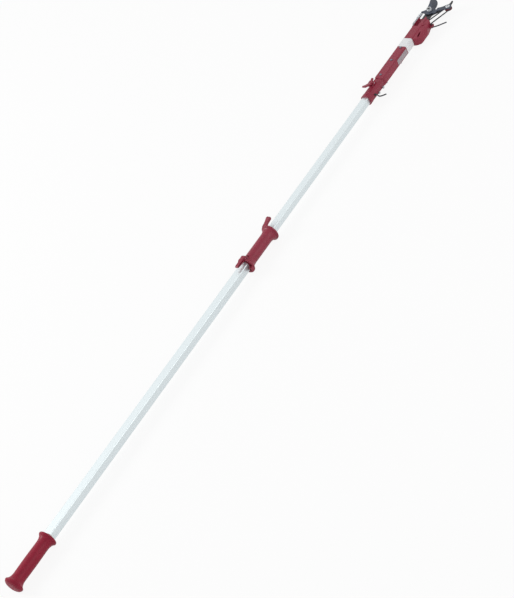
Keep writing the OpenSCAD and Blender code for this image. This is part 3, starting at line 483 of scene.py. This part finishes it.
rows = []
for k in range(LEVER_ROWS + 1):
    s = LEVER_ROOT + (LEVER_LEN - LEVER_ROOT) * k / LEVER_ROWS
    t = min(max((s - BEND_START) / BEND_LEN, 0.0), 1.0)
    end = math.sqrt(LEVER_END_R ** 2 - (LEVER_LEN - s) ** 2) if s > LEVER_LEN - END_BLEND else 0.0
    rows.append((s, min(reach(far_side, s), -end), max(reach(near_side, s), end), rise * t * t * (3 - 2 * t)))
for k in range(1, END_ROWS + 1):
    a = math.radians(k * END_STEP)
    half = LEVER_END_R * math.cos(a)
    rows.append((LEVER_LEN + LEVER_END_R * math.sin(a), -half, half, rise))
verts, faces = [], []
for s, t0, t1, lift in rows:
    for t, z in ((t0, BLADE_Z0), (t1, BLADE_Z0), (t1, BLADE_Z1), (t0, BLADE_Z1)):
        spot = s * out_dir + t * side_dir
        verts.append(PIVOT + Vector((spot.x, spot.y, z + lift)))
for i in range(len(rows) - 1):
    for k in range(4):
        n = (k + 1) % 4
        faces.append((4 * i + k, 4 * i + n, 4 * i + 4 + n, 4 * i + 4 + k))
faces += [(3, 2, 1, 0), tuple(4 * len(rows) - 4 + k for k in range(4))]
lever = raw_mesh("lever", verts, faces)
finish_mesh(lever, 40.0, bevel=0.5)


# Blade's spring arm with its eye, and the blade's holes

EYE_R, EYE_BORE = 3.75, 1.7
BUSH_BORE, PULLEY_BORE = 6.5, 3.05
arm = along(((6, 13), (2.5, 17), (-0.5, 20.8), (-4.4, 25.4)), 4)
arm += along(((-10.2, 22.2), (-10.4, 19), (-12, 14.5), (-14, 7)), 4)
eye_arm = prism("eye_arm", [PIVOT + Vector((*q, BLADE_Z0)) for q in arm], (0.0, 0.0, BLADE_Z1 - BLADE_Z0))
eye_ring = rod(EYE_R, BLADE_Z1 - BLADE_Z0, PIVOT + Vector((*SPRING_EYE, SPRING_Z)))
for other in (lever, eye_arm, eye_ring):
    combine(blade, other, "UNION")
drill(blade, 0.0, 0.0, BUSH_BORE)
drill(blade, SPRING_EYE.x, SPRING_EYE.y, EYE_BORE)
drill(blade, LEVER.x, LEVER.y, PULLEY_BORE)
finish_mesh(blade, 7.0)


# Counter blade: a forged hook with a row of round teeth. Its edge radius changes along it, so it is lofted

TOOTH_H = 1.4
TOOTH_RISE = ((0.0, 0.0), (0.1, 0.45), (0.22, 0.8), (0.4, 1.0), (0.6, 1.0), (0.78, 0.8), (0.9, 0.45))
SHANK_X0, SHANK_Y0, SHANK_Y1 = -90.0, -15.5, 11.5
PLAIN_EDGE, THROAT_EDGE, HEEL_EDGE, TOOTH_EDGE = 0.5, 0.9, 0.7, 0.35
# Edge radius along the hook's back, each up to that point of its line
BACK_EDGES = ((3, 0.5), (14, 1.0), (66, 1.7), (73, 0.8))
ROUND_STEPS = 6
MITRE_LIMIT = 0.7

outline = [((SHANK_X0, SHANK_Y1), PLAIN_EDGE), ((-11, SHANK_Y1), PLAIN_EDGE)]
outline += [(HUB_R * flat(math.radians(a)).to_2d(), PLAIN_EDGE) for a in range(134, -35, -6)]
outline += [((14.4, -15), THROAT_EDGE), ((13, -20.5), THROAT_EDGE), ((13.4, -27), HEEL_EDGE)]
tooth_line = along(((16.6, -30.1), (26.6, -40.3), (39.6, -47.7)), 5)
for a, b in zip(tooth_line, tooth_line[1:]):
    step = b - a
    inward = Vector((-step.y, step.x)).normalized()
    outline += [(a + u * step + TOOTH_H * h * inward, TOOTH_EDGE) for u, h in TOOTH_RISE]
back_line = along((
    (39.6, -47.7), (50.7, -49.9), (57.5, -49.7), (60, -51.4), (58.8, -55), (46.5, -57.5), (37, -57),
    (28.5, -54.5), (20, -49), (6, -36.5), (-5, -25.5), (-15, -17), (-22, SHANK_Y0),
), 6)
for i, p in enumerate(back_line):
    outline.append((p, next(radius for stop, radius in BACK_EDGES if i < stop)))
outline.append(((SHANK_X0, SHANK_Y0), PLAIN_EDGE))

spots = [Vector(p) for p, radius in outline]
count = len(spots)
radii = [sum(outline[(i + k) % count][1] for k in (-2, -1, 0, 1, 2)) / 5 for i in range(count)]
inwards = []
for i in range(count):
    before = (spots[i] - spots[i - 1]).normalized()
    after = (spots[(i + 1) % count] - spots[i]).normalized()
    mid = (before + after).normalized()
    inwards.append(Vector((mid.y, -mid.x)) / max(mid.dot(after), MITRE_LIMIT))
quarter = [math.radians(90 * k / (ROUND_STEPS - 1)) for k in range(ROUND_STEPS)]
levels = [(1 - math.sin(a), -HOOK_TOP, 1 - math.cos(a)) for a in quarter]
levels += [(1 - math.cos(a), HOOK_TOP, math.sin(a) - 1) for a in quarter]
verts, faces = [], []
for inset, z, lift in levels:
    for i in range(count):
        spot = spots[i] + radii[i] * inset * inwards[i]
        verts.append(PIVOT + Vector((spot.x, spot.y, z + radii[i] * lift)))
for j in range(len(levels) - 1):
    for i in range(count):
        n = (i + 1) % count
        faces.append((j * count + i, j * count + n, (j + 1) * count + n, (j + 1) * count + i))
faces += [tuple(range(count)), tuple(reversed(range((len(levels) - 1) * count, len(levels) * count)))]
hook = raw_mesh("hook_forging", verts, faces)
enter(hook, "head", "counter_blade")
finish_mesh(hook, 30.0)


# Shank's pressed window with the bead round it, and the counter blade's holes

WINDOW_DEPTH, WINDOW_CORNER = 1.2, 1.8
BEAD_R, BEAD_SINK = 0.75, 0.55
window = round_corners(((-17.3, -0.6), (-34.2, -0.6), (-34.2, -7.0), (-17.3, -7.0)), WINDOW_CORNER)
window_floor = [PIVOT + w + Vector((0.0, 0.0, HOOK_TOP - WINDOW_DEPTH)) for w in window]
combine(hook, prism("window", window_floor, (0.0, 0.0, WINDOW_DEPTH + CUT_PAST)), "DIFFERENCE")
pivot_hole = (0.0, 0.0, 5.05)
saw_holes = ((-57.0, 3.8, 2.25), (-70.0, -4.8, 2.25))
screw_hole = (-51.0, -5.7, 2.55)
for x, y, radius in (pivot_hole, *saw_holes, screw_hole):
    drill(hook, x, y, radius)
finish_mesh(hook, 30.0)
bead_path = [PIVOT + w + Vector((0.0, 0.0, HOOK_TOP - BEAD_SINK)) for w in window + window[:2]]
bead = swept("window_bead", bead_path, BEAD_R, "head", "counter_blade", sides=14)


# End grip: turned from one profile, bored for the tube and its ferrule, and counterbored for its screw

profile = along((
    (0, 0), (0, 8), (0.1, 12), (0.7, 16.4), (2.0, 20.4), (4.3, 24.0), (7.3, 26.3), (9.8, 27), (11.4, 26.4),
    (13.4, 24.2), (17, 21.6), (22, 19.6), (28, 18.4), (36, 18), (58, 18.3), (80, 18.5), (108, 18.3),
    (130, 18), (138, 18.3), (144, 19.3), (149, 21.0), (152.6, 23.2), (154.8, 25.2), (156.4, 26),
    (158.6, 25.9), (159.8, 24.9), (GRIP_LEN, 23.4),
), 4)
profile += [Vector((GRIP_LEN, 12)), Vector((GRIP_LEN, 0))]
grip = raw_mesh("end_grip_body", [(x, 0.0, r) for x, r in profile],
                edges=[(i, i + 1) for i in range(len(profile) - 1)])
choose(grip)
bpy.ops.object.mode_set(mode="EDIT")
bpy.ops.mesh.select_all(action="SELECT")
bpy.ops.mesh.spin(steps=72, angle=2 * math.pi, center=(0, 0, 0), axis=(1, 0, 0))
bpy.ops.object.mode_set(mode="OBJECT")
finish_mesh(grip, 30.0)


def square_bore(half, corner, x0):
    """Cuts a square bore with round corners into the grip's upper end, from x0 up."""
    m = half - corner
    ring = [(x0, q.x, q.y) for q in round_corners(((m, m), (-m, m), (-m, -m), (m, -m)), corner)]
    combine(grip, prism("bar", ring, (GRIP_LEN + CUT_PAST - x0, 0.0, 0.0)), "DIFFERENCE")


square_bore(half=12.6, corner=2.0, x0=45.0)
square_bore(half=15.6, corner=5.0, x0=153.0)
combine(grip, rod(radius=4.4, length=15.0, centre=(63.5, 0.0, -23.0)), "DIFFERENCE")
finish_mesh(grip, 35.0)
enter(grip, "lower_pole", "end_grip")


# Materials

MIX_A, MIX_B, MIX_COLOUR = 6, 7, 2  # a Mix node's colour sockets
NYLON_IOR = 1.53


def linear(code):
    """An sRGB hex value as a linear colour."""
    out = []
    for i in (1, 3, 5):
        c = int(code[i:i + 2], 16) / 255
        out.append(c / 12.92 if c <= 0.04045 else ((c + 0.055) / 1.055) ** 2.4)
    return (*out, 1.0)


def every(size):
    """A texture's scale, for a pattern that repeats about every so many millimetres."""
    return 1 / (size * MM)


def add(tree, kind, wires=None, stops=(), **settings):
    """Adds a node. A wire's value is a socket or a constant; stops are a ramp's places and colours."""
    node = tree.nodes.new(kind)
    for key, value in settings.items():
        setattr(node, key, value)
    for key, value in (wires or {}).items():
        if isinstance(value, bpy.types.NodeSocket):
            tree.links.new(value, node.inputs[key])
        else:
            node.inputs[key].default_value = value
    if stops:
        elements = node.color_ramp.elements
        while len(elements) < len(stops):
            elements.new(0.5)
        for element, (at, code) in zip(elements, stops):
            element.position = at
            element.color = linear(code)
    return node


def blank_material(name):
    """A material with no nodes yet but its Object coordinates."""
    material = bpy.data.materials.new(name)
    material.use_nodes = True
    tree = material.node_tree
    tree.nodes.clear()
    return material, tree, add(tree, "ShaderNodeTexCoord").outputs["Object"]


def moulded_red_nylon(name, dark, mid, light, fibre, gloss):
    """Glass-filled nylon, moulded: a mottled red with pale fibre specks, a spark grain and soft edges."""
    material, tree, place = blank_material(name)
    # Flow mottle 11 mm across; the mould's 0.1 mm spark grain is drawn at 1.1 mm, so that it shows
    mottle = add(tree, "ShaderNodeTexNoise",
                 {"Vector": place, "Scale": every(11.1), "Detail": 5.0, "Roughness": 0.62})
    grain = add(tree, "ShaderNodeTexNoise", {"Vector": place, "Scale": every(1.11), "Detail": 3.0})
    most = add(tree, "ShaderNodeMath", {0: grain.outputs["Fac"], 1: 0.72}, operation="MULTIPLY")
    both = add(tree, "ShaderNodeMath", {0: mottle.outputs["Fac"], 1: 0.28, 2: most.outputs[0]},
               operation="MULTIPLY_ADD")
    tone = add(tree, "ShaderNodeValToRGB", {"Fac": both.outputs[0]},
               stops=((0.34, dark), (0.5, mid), (0.66, light)))
    # A fibre's end shows in each 1.4 mm, drawn 0.45 mm across: the real ones are too fine to show
    specks = add(tree, "ShaderNodeTexVoronoi", {"Vector": place, "Scale": every(1.43)})
    near = add(tree, "ShaderNodeMath", {0: specks.outputs["Distance"], 1: 0.16}, operation="LESS_THAN")
    faint = add(tree, "ShaderNodeMath", {0: near.outputs[0], 1: 0.34}, operation="MULTIPLY")
    colour = add(tree, "ShaderNodeMix",
                 {0: faint.outputs[0], MIX_A: tone.outputs["Color"], MIX_B: linear(fibre)}, data_type="RGBA")
    rough = add(tree, "ShaderNodeMapRange", {0: mottle.outputs["Fac"], 1: 0.3, 2: 0.7, 3: 0.36, 4: 0.52})
    soft_edge = add(tree, "ShaderNodeBevel", {"Radius": 0.9 * MM}, samples=6)
    bump = add(tree, "ShaderNodeBump", {
        "Strength": 0.16, "Distance": 0.4 * MM, "Height": grain.outputs["Fac"],
        "Normal": soft_edge.outputs[0]})
    shader = add(tree, "ShaderNodeBsdfPrincipled", {
        "Base Color": colour.outputs[MIX_COLOUR], "Roughness": rough.outputs[0], "Normal": bump.outputs[0],
        "IOR": NYLON_IOR, "Specular IOR Level": gloss})
    add(tree, "ShaderNodeOutputMaterial", {"Surface": shader.outputs[0]})
    return material


def drawn_aluminium(name):
    """Satin anodised aluminium tube, drawn: bright, with lines along its length and faint clouds."""
    material, tree, place = blank_material(name)
    # Drawing lines a third of a metre long; their real 0.1 mm spacing is drawn at 1.1 mm, so that it shows
    stretch = add(tree, "ShaderNodeMapping",
                  {"Vector": place, "Scale": (every(333), every(1.11), every(1.11))})
    lines = add(tree, "ShaderNodeTexNoise",
                {"Vector": stretch.outputs[0], "Scale": 1.0, "Detail": 4.0, "Roughness": 0.7})
    # Clouds of handling 71 mm across
    cloud = add(tree, "ShaderNodeTexNoise", {"Vector": place, "Scale": every(71.4), "Detail": 4.0})
    tone = add(tree, "ShaderNodeValToRGB", {"Fac": lines.outputs["Fac"]},
               stops=((0.25, "#D8E1E4"), (0.75, "#E3EBED")))
    both = add(tree, "ShaderNodeMath", {0: lines.outputs["Fac"], 1: cloud.outputs["Fac"]}, operation="ADD")
    rough = add(tree, "ShaderNodeMapRange", {0: both.outputs[0], 1: 0.6, 2: 1.4, 3: 0.34, 4: 0.44})
    soft_edge = add(tree, "ShaderNodeBevel", {"Radius": 1.6 * MM}, samples=6)
    shader = add(tree, "ShaderNodeBsdfPrincipled", {
        "Base Color": tone.outputs["Color"], "Roughness": rough.outputs[0], "Normal": soft_edge.outputs[0],
        "Metallic": 0.7})
    add(tree, "ShaderNodeOutputMaterial", {"Surface": shader.outputs[0]})
    return material


def plated_steel(name, dark, light, rough_lo, rough_hi, metal=1.0):
    """Turned and plated steel, or bronze: clouded, with a trace of the tool in it."""
    material, tree, place = blank_material(name)
    # Clouds in the plating 3.8 mm across; turning marks drawn at 0.4 mm, as real ones are too fine to show
    cloud = add(tree, "ShaderNodeTexNoise",
                {"Vector": place, "Scale": every(3.85), "Detail": 4.0, "Roughness": 0.6})
    marks = add(tree, "ShaderNodeTexNoise", {"Vector": place, "Scale": every(0.385), "Detail": 2.0})
    tone = add(tree, "ShaderNodeValToRGB", {"Fac": cloud.outputs["Fac"]}, stops=((0.3, dark), (0.7, light)))
    rough = add(tree, "ShaderNodeMapRange",
                {0: cloud.outputs["Fac"], 1: 0.3, 2: 0.7, 3: rough_lo, 4: rough_hi})
    soft_edge = add(tree, "ShaderNodeBevel", {"Radius": 0.3 * MM}, samples=4)
    bump = add(tree, "ShaderNodeBump", {
        "Strength": 0.08, "Distance": 0.1 * MM, "Height": marks.outputs["Fac"],
        "Normal": soft_edge.outputs[0]})
    shader = add(tree, "ShaderNodeBsdfPrincipled", {
        "Base Color": tone.outputs["Color"], "Roughness": rough.outputs[0], "Normal": bump.outputs[0],
        "Metallic": metal})
    add(tree, "ShaderNodeOutputMaterial", {"Surface": shader.outputs[0]})
    return material


def coated_steel(name, base, shade, worn, rough_lo, rough_hi, coat):
    """Coated steel: an even dark film with a slight orange peel, rubbed thin along its edges."""
    material, tree, place = blank_material(name)
    # Clouds in the film 17 mm across, scrapes along the edges 2.4 mm long, peel 0.8 mm
    cloud = add(tree, "ShaderNodeTexNoise",
                {"Vector": place, "Scale": every(16.7), "Detail": 5.0, "Roughness": 0.6})
    scrape = add(tree, "ShaderNodeTexNoise", {"Vector": place, "Scale": every(2.38), "Detail": 3.0})
    peel = add(tree, "ShaderNodeTexNoise", {"Vector": place, "Scale": every(0.77), "Detail": 2.0})
    tone = add(tree, "ShaderNodeValToRGB", {"Fac": cloud.outputs["Fac"]}, stops=((0.3, shade), (0.7, base)))
    soft_edge = add(tree, "ShaderNodeBevel", {"Radius": 0.5 * MM}, samples=6)
    true = add(tree, "ShaderNodeNewGeometry")
    agree = add(tree, "ShaderNodeVectorMath", {0: soft_edge.outputs[0], 1: true.outputs["True Normal"]},
                operation="DOT_PRODUCT")
    rim = add(tree, "ShaderNodeMapRange", {0: agree.outputs["Value"], 1: 0.97, 2: 0.8, 3: 0.0, 4: 0.55})
    rubbed = add(tree, "ShaderNodeMath", {0: rim.outputs[0], 1: scrape.outputs["Fac"]}, operation="MULTIPLY")
    colour = add(tree, "ShaderNodeMix",
                 {0: rubbed.outputs[0], MIX_A: tone.outputs["Color"], MIX_B: linear(worn)}, data_type="RGBA")
    rough = add(tree, "ShaderNodeMapRange",
                {0: cloud.outputs["Fac"], 1: 0.3, 2: 0.7, 3: rough_lo, 4: rough_hi})
    bump = add(tree, "ShaderNodeBump", {
        "Strength": 0.06, "Distance": 0.2 * MM, "Height": peel.outputs["Fac"],
        "Normal": soft_edge.outputs[0]})
    shader = add(tree, "ShaderNodeBsdfPrincipled", {
        "Base Color": colour.outputs[MIX_COLOUR], "Roughness": rough.outputs[0], "Normal": bump.outputs[0],
        "Specular IOR Level": 0.3, "Coat Weight": coat, "Coat Roughness": 0.12})
    add(tree, "ShaderNodeOutputMaterial", {"Surface": shader.outputs[0]})
    return material


def plain_plastic(name, dark, light, rough):
    """Unfilled nylon, moulded, or cast vinyl film: nearly even, with a soft mottle and a faint grain."""
    material, tree, place = blank_material(name)
    # Mottle 18 mm across; the grain is drawn at 0.9 mm, so that it shows
    cloud = add(tree, "ShaderNodeTexNoise", {"Vector": place, "Scale": every(18.2), "Detail": 4.0})
    grain = add(tree, "ShaderNodeTexNoise", {"Vector": place, "Scale": every(0.91), "Detail": 2.0})
    tone = add(tree, "ShaderNodeValToRGB", {"Fac": cloud.outputs["Fac"]}, stops=((0.3, dark), (0.7, light)))
    spread = add(tree, "ShaderNodeMapRange",
                 {0: cloud.outputs["Fac"], 1: 0.3, 2: 0.7, 3: rough - 0.06, 4: rough + 0.06})
    bump = add(tree, "ShaderNodeBump",
               {"Strength": 0.07, "Distance": 0.2 * MM, "Height": grain.outputs["Fac"]})
    shader = add(tree, "ShaderNodeBsdfPrincipled", {
        "Base Color": tone.outputs["Color"], "Roughness": spread.outputs[0], "Normal": bump.outputs[0],
        "IOR": NYLON_IOR})
    add(tree, "ShaderNodeOutputMaterial", {"Surface": shader.outputs[0]})
    return material


def braided_cord(name):
    """Black polyester cord, braided: slanting plaits cross, each a small dull crown, with a painted highlight
    on each crown and painted shade between them.
    """
    material, tree, place = blank_material(name)
    run = add(tree, "ShaderNodeUVMap", uv_map="run")
    part = add(tree, "ShaderNodeSeparateXYZ", {0: run.outputs[0]})
    # A plait shows every 1.7 mm along the cord and six times round it
    onward = add(tree, "ShaderNodeMath", {0: part.outputs[0], 1: 2 * math.pi / 1.7}, operation="MULTIPLY")
    round_it = add(tree, "ShaderNodeMath", {0: part.outputs[1], 1: 2 * math.pi * 6}, operation="MULTIPLY")
    plus = add(tree, "ShaderNodeMath", {0: onward.outputs[0], 1: round_it.outputs[0]}, operation="ADD")
    minus = add(tree, "ShaderNodeMath", {0: onward.outputs[0], 1: round_it.outputs[0]}, operation="SUBTRACT")
    wave_a = add(tree, "ShaderNodeMath", {0: plus.outputs[0]}, operation="SINE")
    wave_b = add(tree, "ShaderNodeMath", {0: minus.outputs[0]}, operation="SINE")
    lesser = add(tree, "ShaderNodeMath", {0: wave_b.outputs[0], 1: 0.55}, operation="MULTIPLY")
    crown = add(tree, "ShaderNodeMath", {0: wave_a.outputs[0], 1: lesser.outputs[0]}, operation="ADD")
    height = add(tree, "ShaderNodeMapRange", {0: crown.outputs[0], 1: -1.2, 2: 1.4, 3: 0.0, 4: 1.0})
    # Loose filaments, drawn at 0.45 mm: the real ones are too fine to show
    fuzz = add(tree, "ShaderNodeTexNoise", {"Vector": place, "Scale": every(0.455), "Detail": 3.0})
    # Painted highlight on the plaits' crowns and painted shade in the valleys between them, broken by the
    # filaments
    both = add(tree, "ShaderNodeMath", {0: height.outputs[0], 1: fuzz.outputs["Fac"]}, operation="MULTIPLY")
    tone = add(tree, "ShaderNodeValToRGB", {"Fac": both.outputs[0]},
               stops=((0.06, "#0A0A0C"), (0.5, "#4A4C55")))
    bump = add(tree, "ShaderNodeBump", {"Strength": 0.7, "Distance": 0.5 * MM, "Height": height.outputs[0]})
    shader = add(tree, "ShaderNodeBsdfPrincipled", {
        "Base Color": tone.outputs["Color"], "Normal": bump.outputs[0], "Roughness": 0.75,
        "Sheen Weight": 0.25})
    add(tree, "ShaderNodeOutputMaterial", {"Surface": shader.outputs[0]})
    return material


red_shell = moulded_red_nylon("glass_filled_red_nylon", "#7E2034", "#90293E", "#A2384E", "#C88894", 0.34)
red_grip = moulded_red_nylon("moulded_red_grip_nylon", "#80192D", "#942137", "#A62D45", "#BE6A7C", 0.16)
red_wheel = moulded_red_nylon("turned_red_nylon", "#7C1824", "#922230", "#A43240", "#BC6C74", 0.28)
tube_metal = drawn_aluminium("drawn_anodised_aluminium")
zinc = plated_steel("zinc_plated_steel", "#A9AEB2", "#CBCED1", 0.26, 0.38)
dark_screw = plated_steel("blackened_steel", "#2A2C31", "#3B3E45", 0.32, 0.44, 0.85)
grey_screw = plated_steel("grey_phosphated_steel", "#6D7280", "#9298A3", 0.3, 0.42)
bronze = plated_steel("bearing_bronze", "#8A6B33", "#A98945", 0.3, 0.42)
gloss_black = coated_steel("black_enamelled_steel", "#141518", "#0E0F11", "#3C3E44", 0.2, 0.3, 0.25)
blade_coat = coated_steel("dark_coated_blade_steel", "#4A5160", "#414754", "#868A93", 0.38, 0.5, 0.05)
# A darker copy of the blade's coat: painted shade for the tilted ground face
grind_painted_shade = coated_steel("coated_ground_steel_painted_shade", "#3E4450", "#373C47", "#868A93", 0.34, 0.44, 0.05)
black_nylon = plain_plastic("black_nylon", "#161719", "#222326", 0.5)
white_nylon = plain_plastic("natural_nylon", "#DCDBD5", "#EAE9E4", 0.42)
white_vinyl = plain_plastic("white_vinyl_band", "#EDEEF1", "#F4F5F7", 0.4)
grey_vinyl = plain_plastic("grey_vinyl_plate", "#9A8C92", "#B4A8AC", 0.4)
cord_braid = braided_cord("black_braided_cord")


# What each piece wears

def wear(piece, *materials):
    """Gives a piece its materials."""
    piece.data.materials.clear()
    for material in materials:
        piece.data.materials.append(material)


finishes = (
    (tube_metal, "lower_tube upper_tube"),
    (red_grip, "end_grip"),
    (red_shell, "mid_grip clamp_lever collar latch housing_front housing_back"),
    (red_wheel, "guide_pulley lever_pulley"),
    (black_nylon, "tube_plug top_bush clamp_shoe slider_plug tube_head_plug"),
    (zinc, "grip_screw grip_set_screws collar_bolts collar_nuts latch_pin shell_screws pivot_nut spring_pin"),
    (zinc, "guide_pin pulley_nut pulley_screw return_spring"),
    (dark_screw, "clamp_pin shank_screw pivot_bolt"),
    (grey_screw, "glide_screws"),
    (white_nylon, "grip_ferrule glide_strip nut_ring"),
    (white_vinyl, "label_band"),
    (grey_vinyl, "side_plate"),
    (gloss_black, "counter_blade"),
    (blade_coat, "cutting_blade"),
    (bronze, "pivot_bush"),
)
finish_of = {name: material for material, names in finishes for name in names.split()}
for name, node in nodes.items():
    wear(node, finish_of.get(name, cord_braid))
for piece in tails + runs + knots:
    wear(piece, cord_braid)
wear(spring, zinc)
wear(grip, red_grip)
for piece in (hook, bead):
    wear(piece, gloss_black)
wear(blade, blade_coat, grind_painted_shade)
# The ground face takes the darker copy of the coat, painted shade for its tilt; it lies beyond the hub and
# below the plate's top
GRIND_X0 = 16.4
for face in blade.data.polygons:
    middle = face.center / MM - PIVOT
    if middle.x > GRIND_X0 and edge_low < middle.z < BLADE_Z1 - 0.02 and face.normal.z > 0.9:
        face.material_index = 1


# Floor, backdrop and lamps

FLOOR_SIZE = 60.0
FLOOR_DROP = 0.0005
FLOOR_WHITE = 0.9


def seen_directly(tree):
    """A socket that is 1 for what the camera sees, at first hand, mirrored or through glass."""
    path = add(tree, "ShaderNodeLightPath")
    first = add(tree, "ShaderNodeMath", {0: path.outputs["Is Camera Ray"], 1: path.outputs["Is Glossy Ray"]},
                operation="MAXIMUM")
    either = add(tree, "ShaderNodeMath", {0: first.outputs[0], 1: path.outputs["Is Transmission Ray"]},
                 operation="MAXIMUM")
    return either.outputs[0]


# The floor shows nearly white, and the rest of it is matt, so that it keeps the shadow
bpy.ops.object.select_all(action="DESELECT")
bpy.ops.mesh.primitive_plane_add(size=FLOOR_SIZE, location=(1.2, 0.0, cad_box[0][2] - FLOOR_DROP))
floor = bpy.context.active_object
floor.name = "floor"
material, tree, _ = blank_material("pale_floor")
matt = add(tree, "ShaderNodeBsdfPrincipled", {"Base Color": linear("#F4F4F4"), "Roughness": 0.9})
glow = add(tree, "ShaderNodeEmission", {"Color": (1, 1, 1, 1), "Strength": 1.0})
share = add(tree, "ShaderNodeMath", {0: seen_directly(tree), 1: FLOOR_WHITE}, operation="MULTIPLY")
mixed = add(tree, "ShaderNodeMixShader", {0: share.outputs[0], 1: matt.outputs[0], 2: glow.outputs[0]})
add(tree, "ShaderNodeOutputMaterial", {"Surface": mixed.outputs[0]})
wear(floor, material)

world = bpy.data.worlds.new("studio")
bpy.context.scene.world = world
world.use_nodes = True
tree = world.node_tree
tree.nodes.clear()
soft = add(tree, "ShaderNodeBackground", {"Color": (1, 1, 1, 1), "Strength": 0.45})
white = add(tree, "ShaderNodeBackground", {"Color": (1, 1, 1, 1), "Strength": 1.0})
mixed = add(tree, "ShaderNodeMixShader", {0: seen_directly(tree), 1: soft.outputs[0], 2: white.outputs[0]})
add(tree, "ShaderNodeOutputWorld", {"Surface": mixed.outputs[0]})


def lamp(name, place, aim, size, power):
    """An oval lamp, its place, aim and size in metres."""
    data = bpy.data.lights.new(name, "AREA")
    data.shape = "ELLIPSE"
    data.size, data.size_y = size
    data.energy = power
    obj = bpy.data.objects.new(name, data)
    obj.location = place
    obj.rotation_euler = (Vector(aim) - Vector(place)).to_track_quat("-Z", "Y").to_euler()
    bpy.context.scene.collection.objects.link(obj)


lamp("key", (-0.35, 3.15, 2.6), (1.1, 0.0, 0.0), (2.0, 2.0), 90.0)
lamp("panel", (2.6, 2.5, 2.6), (2.6, 0.0, 0.0), (4.4, 2.2), 4.0)
lamp("fill", (2.1, -3.3, 2.1), (1.9, 0.0, 0.0), (3.0, 3.0), 42.0)

bpy.context.scene.view_settings.view_transform = "Standard"
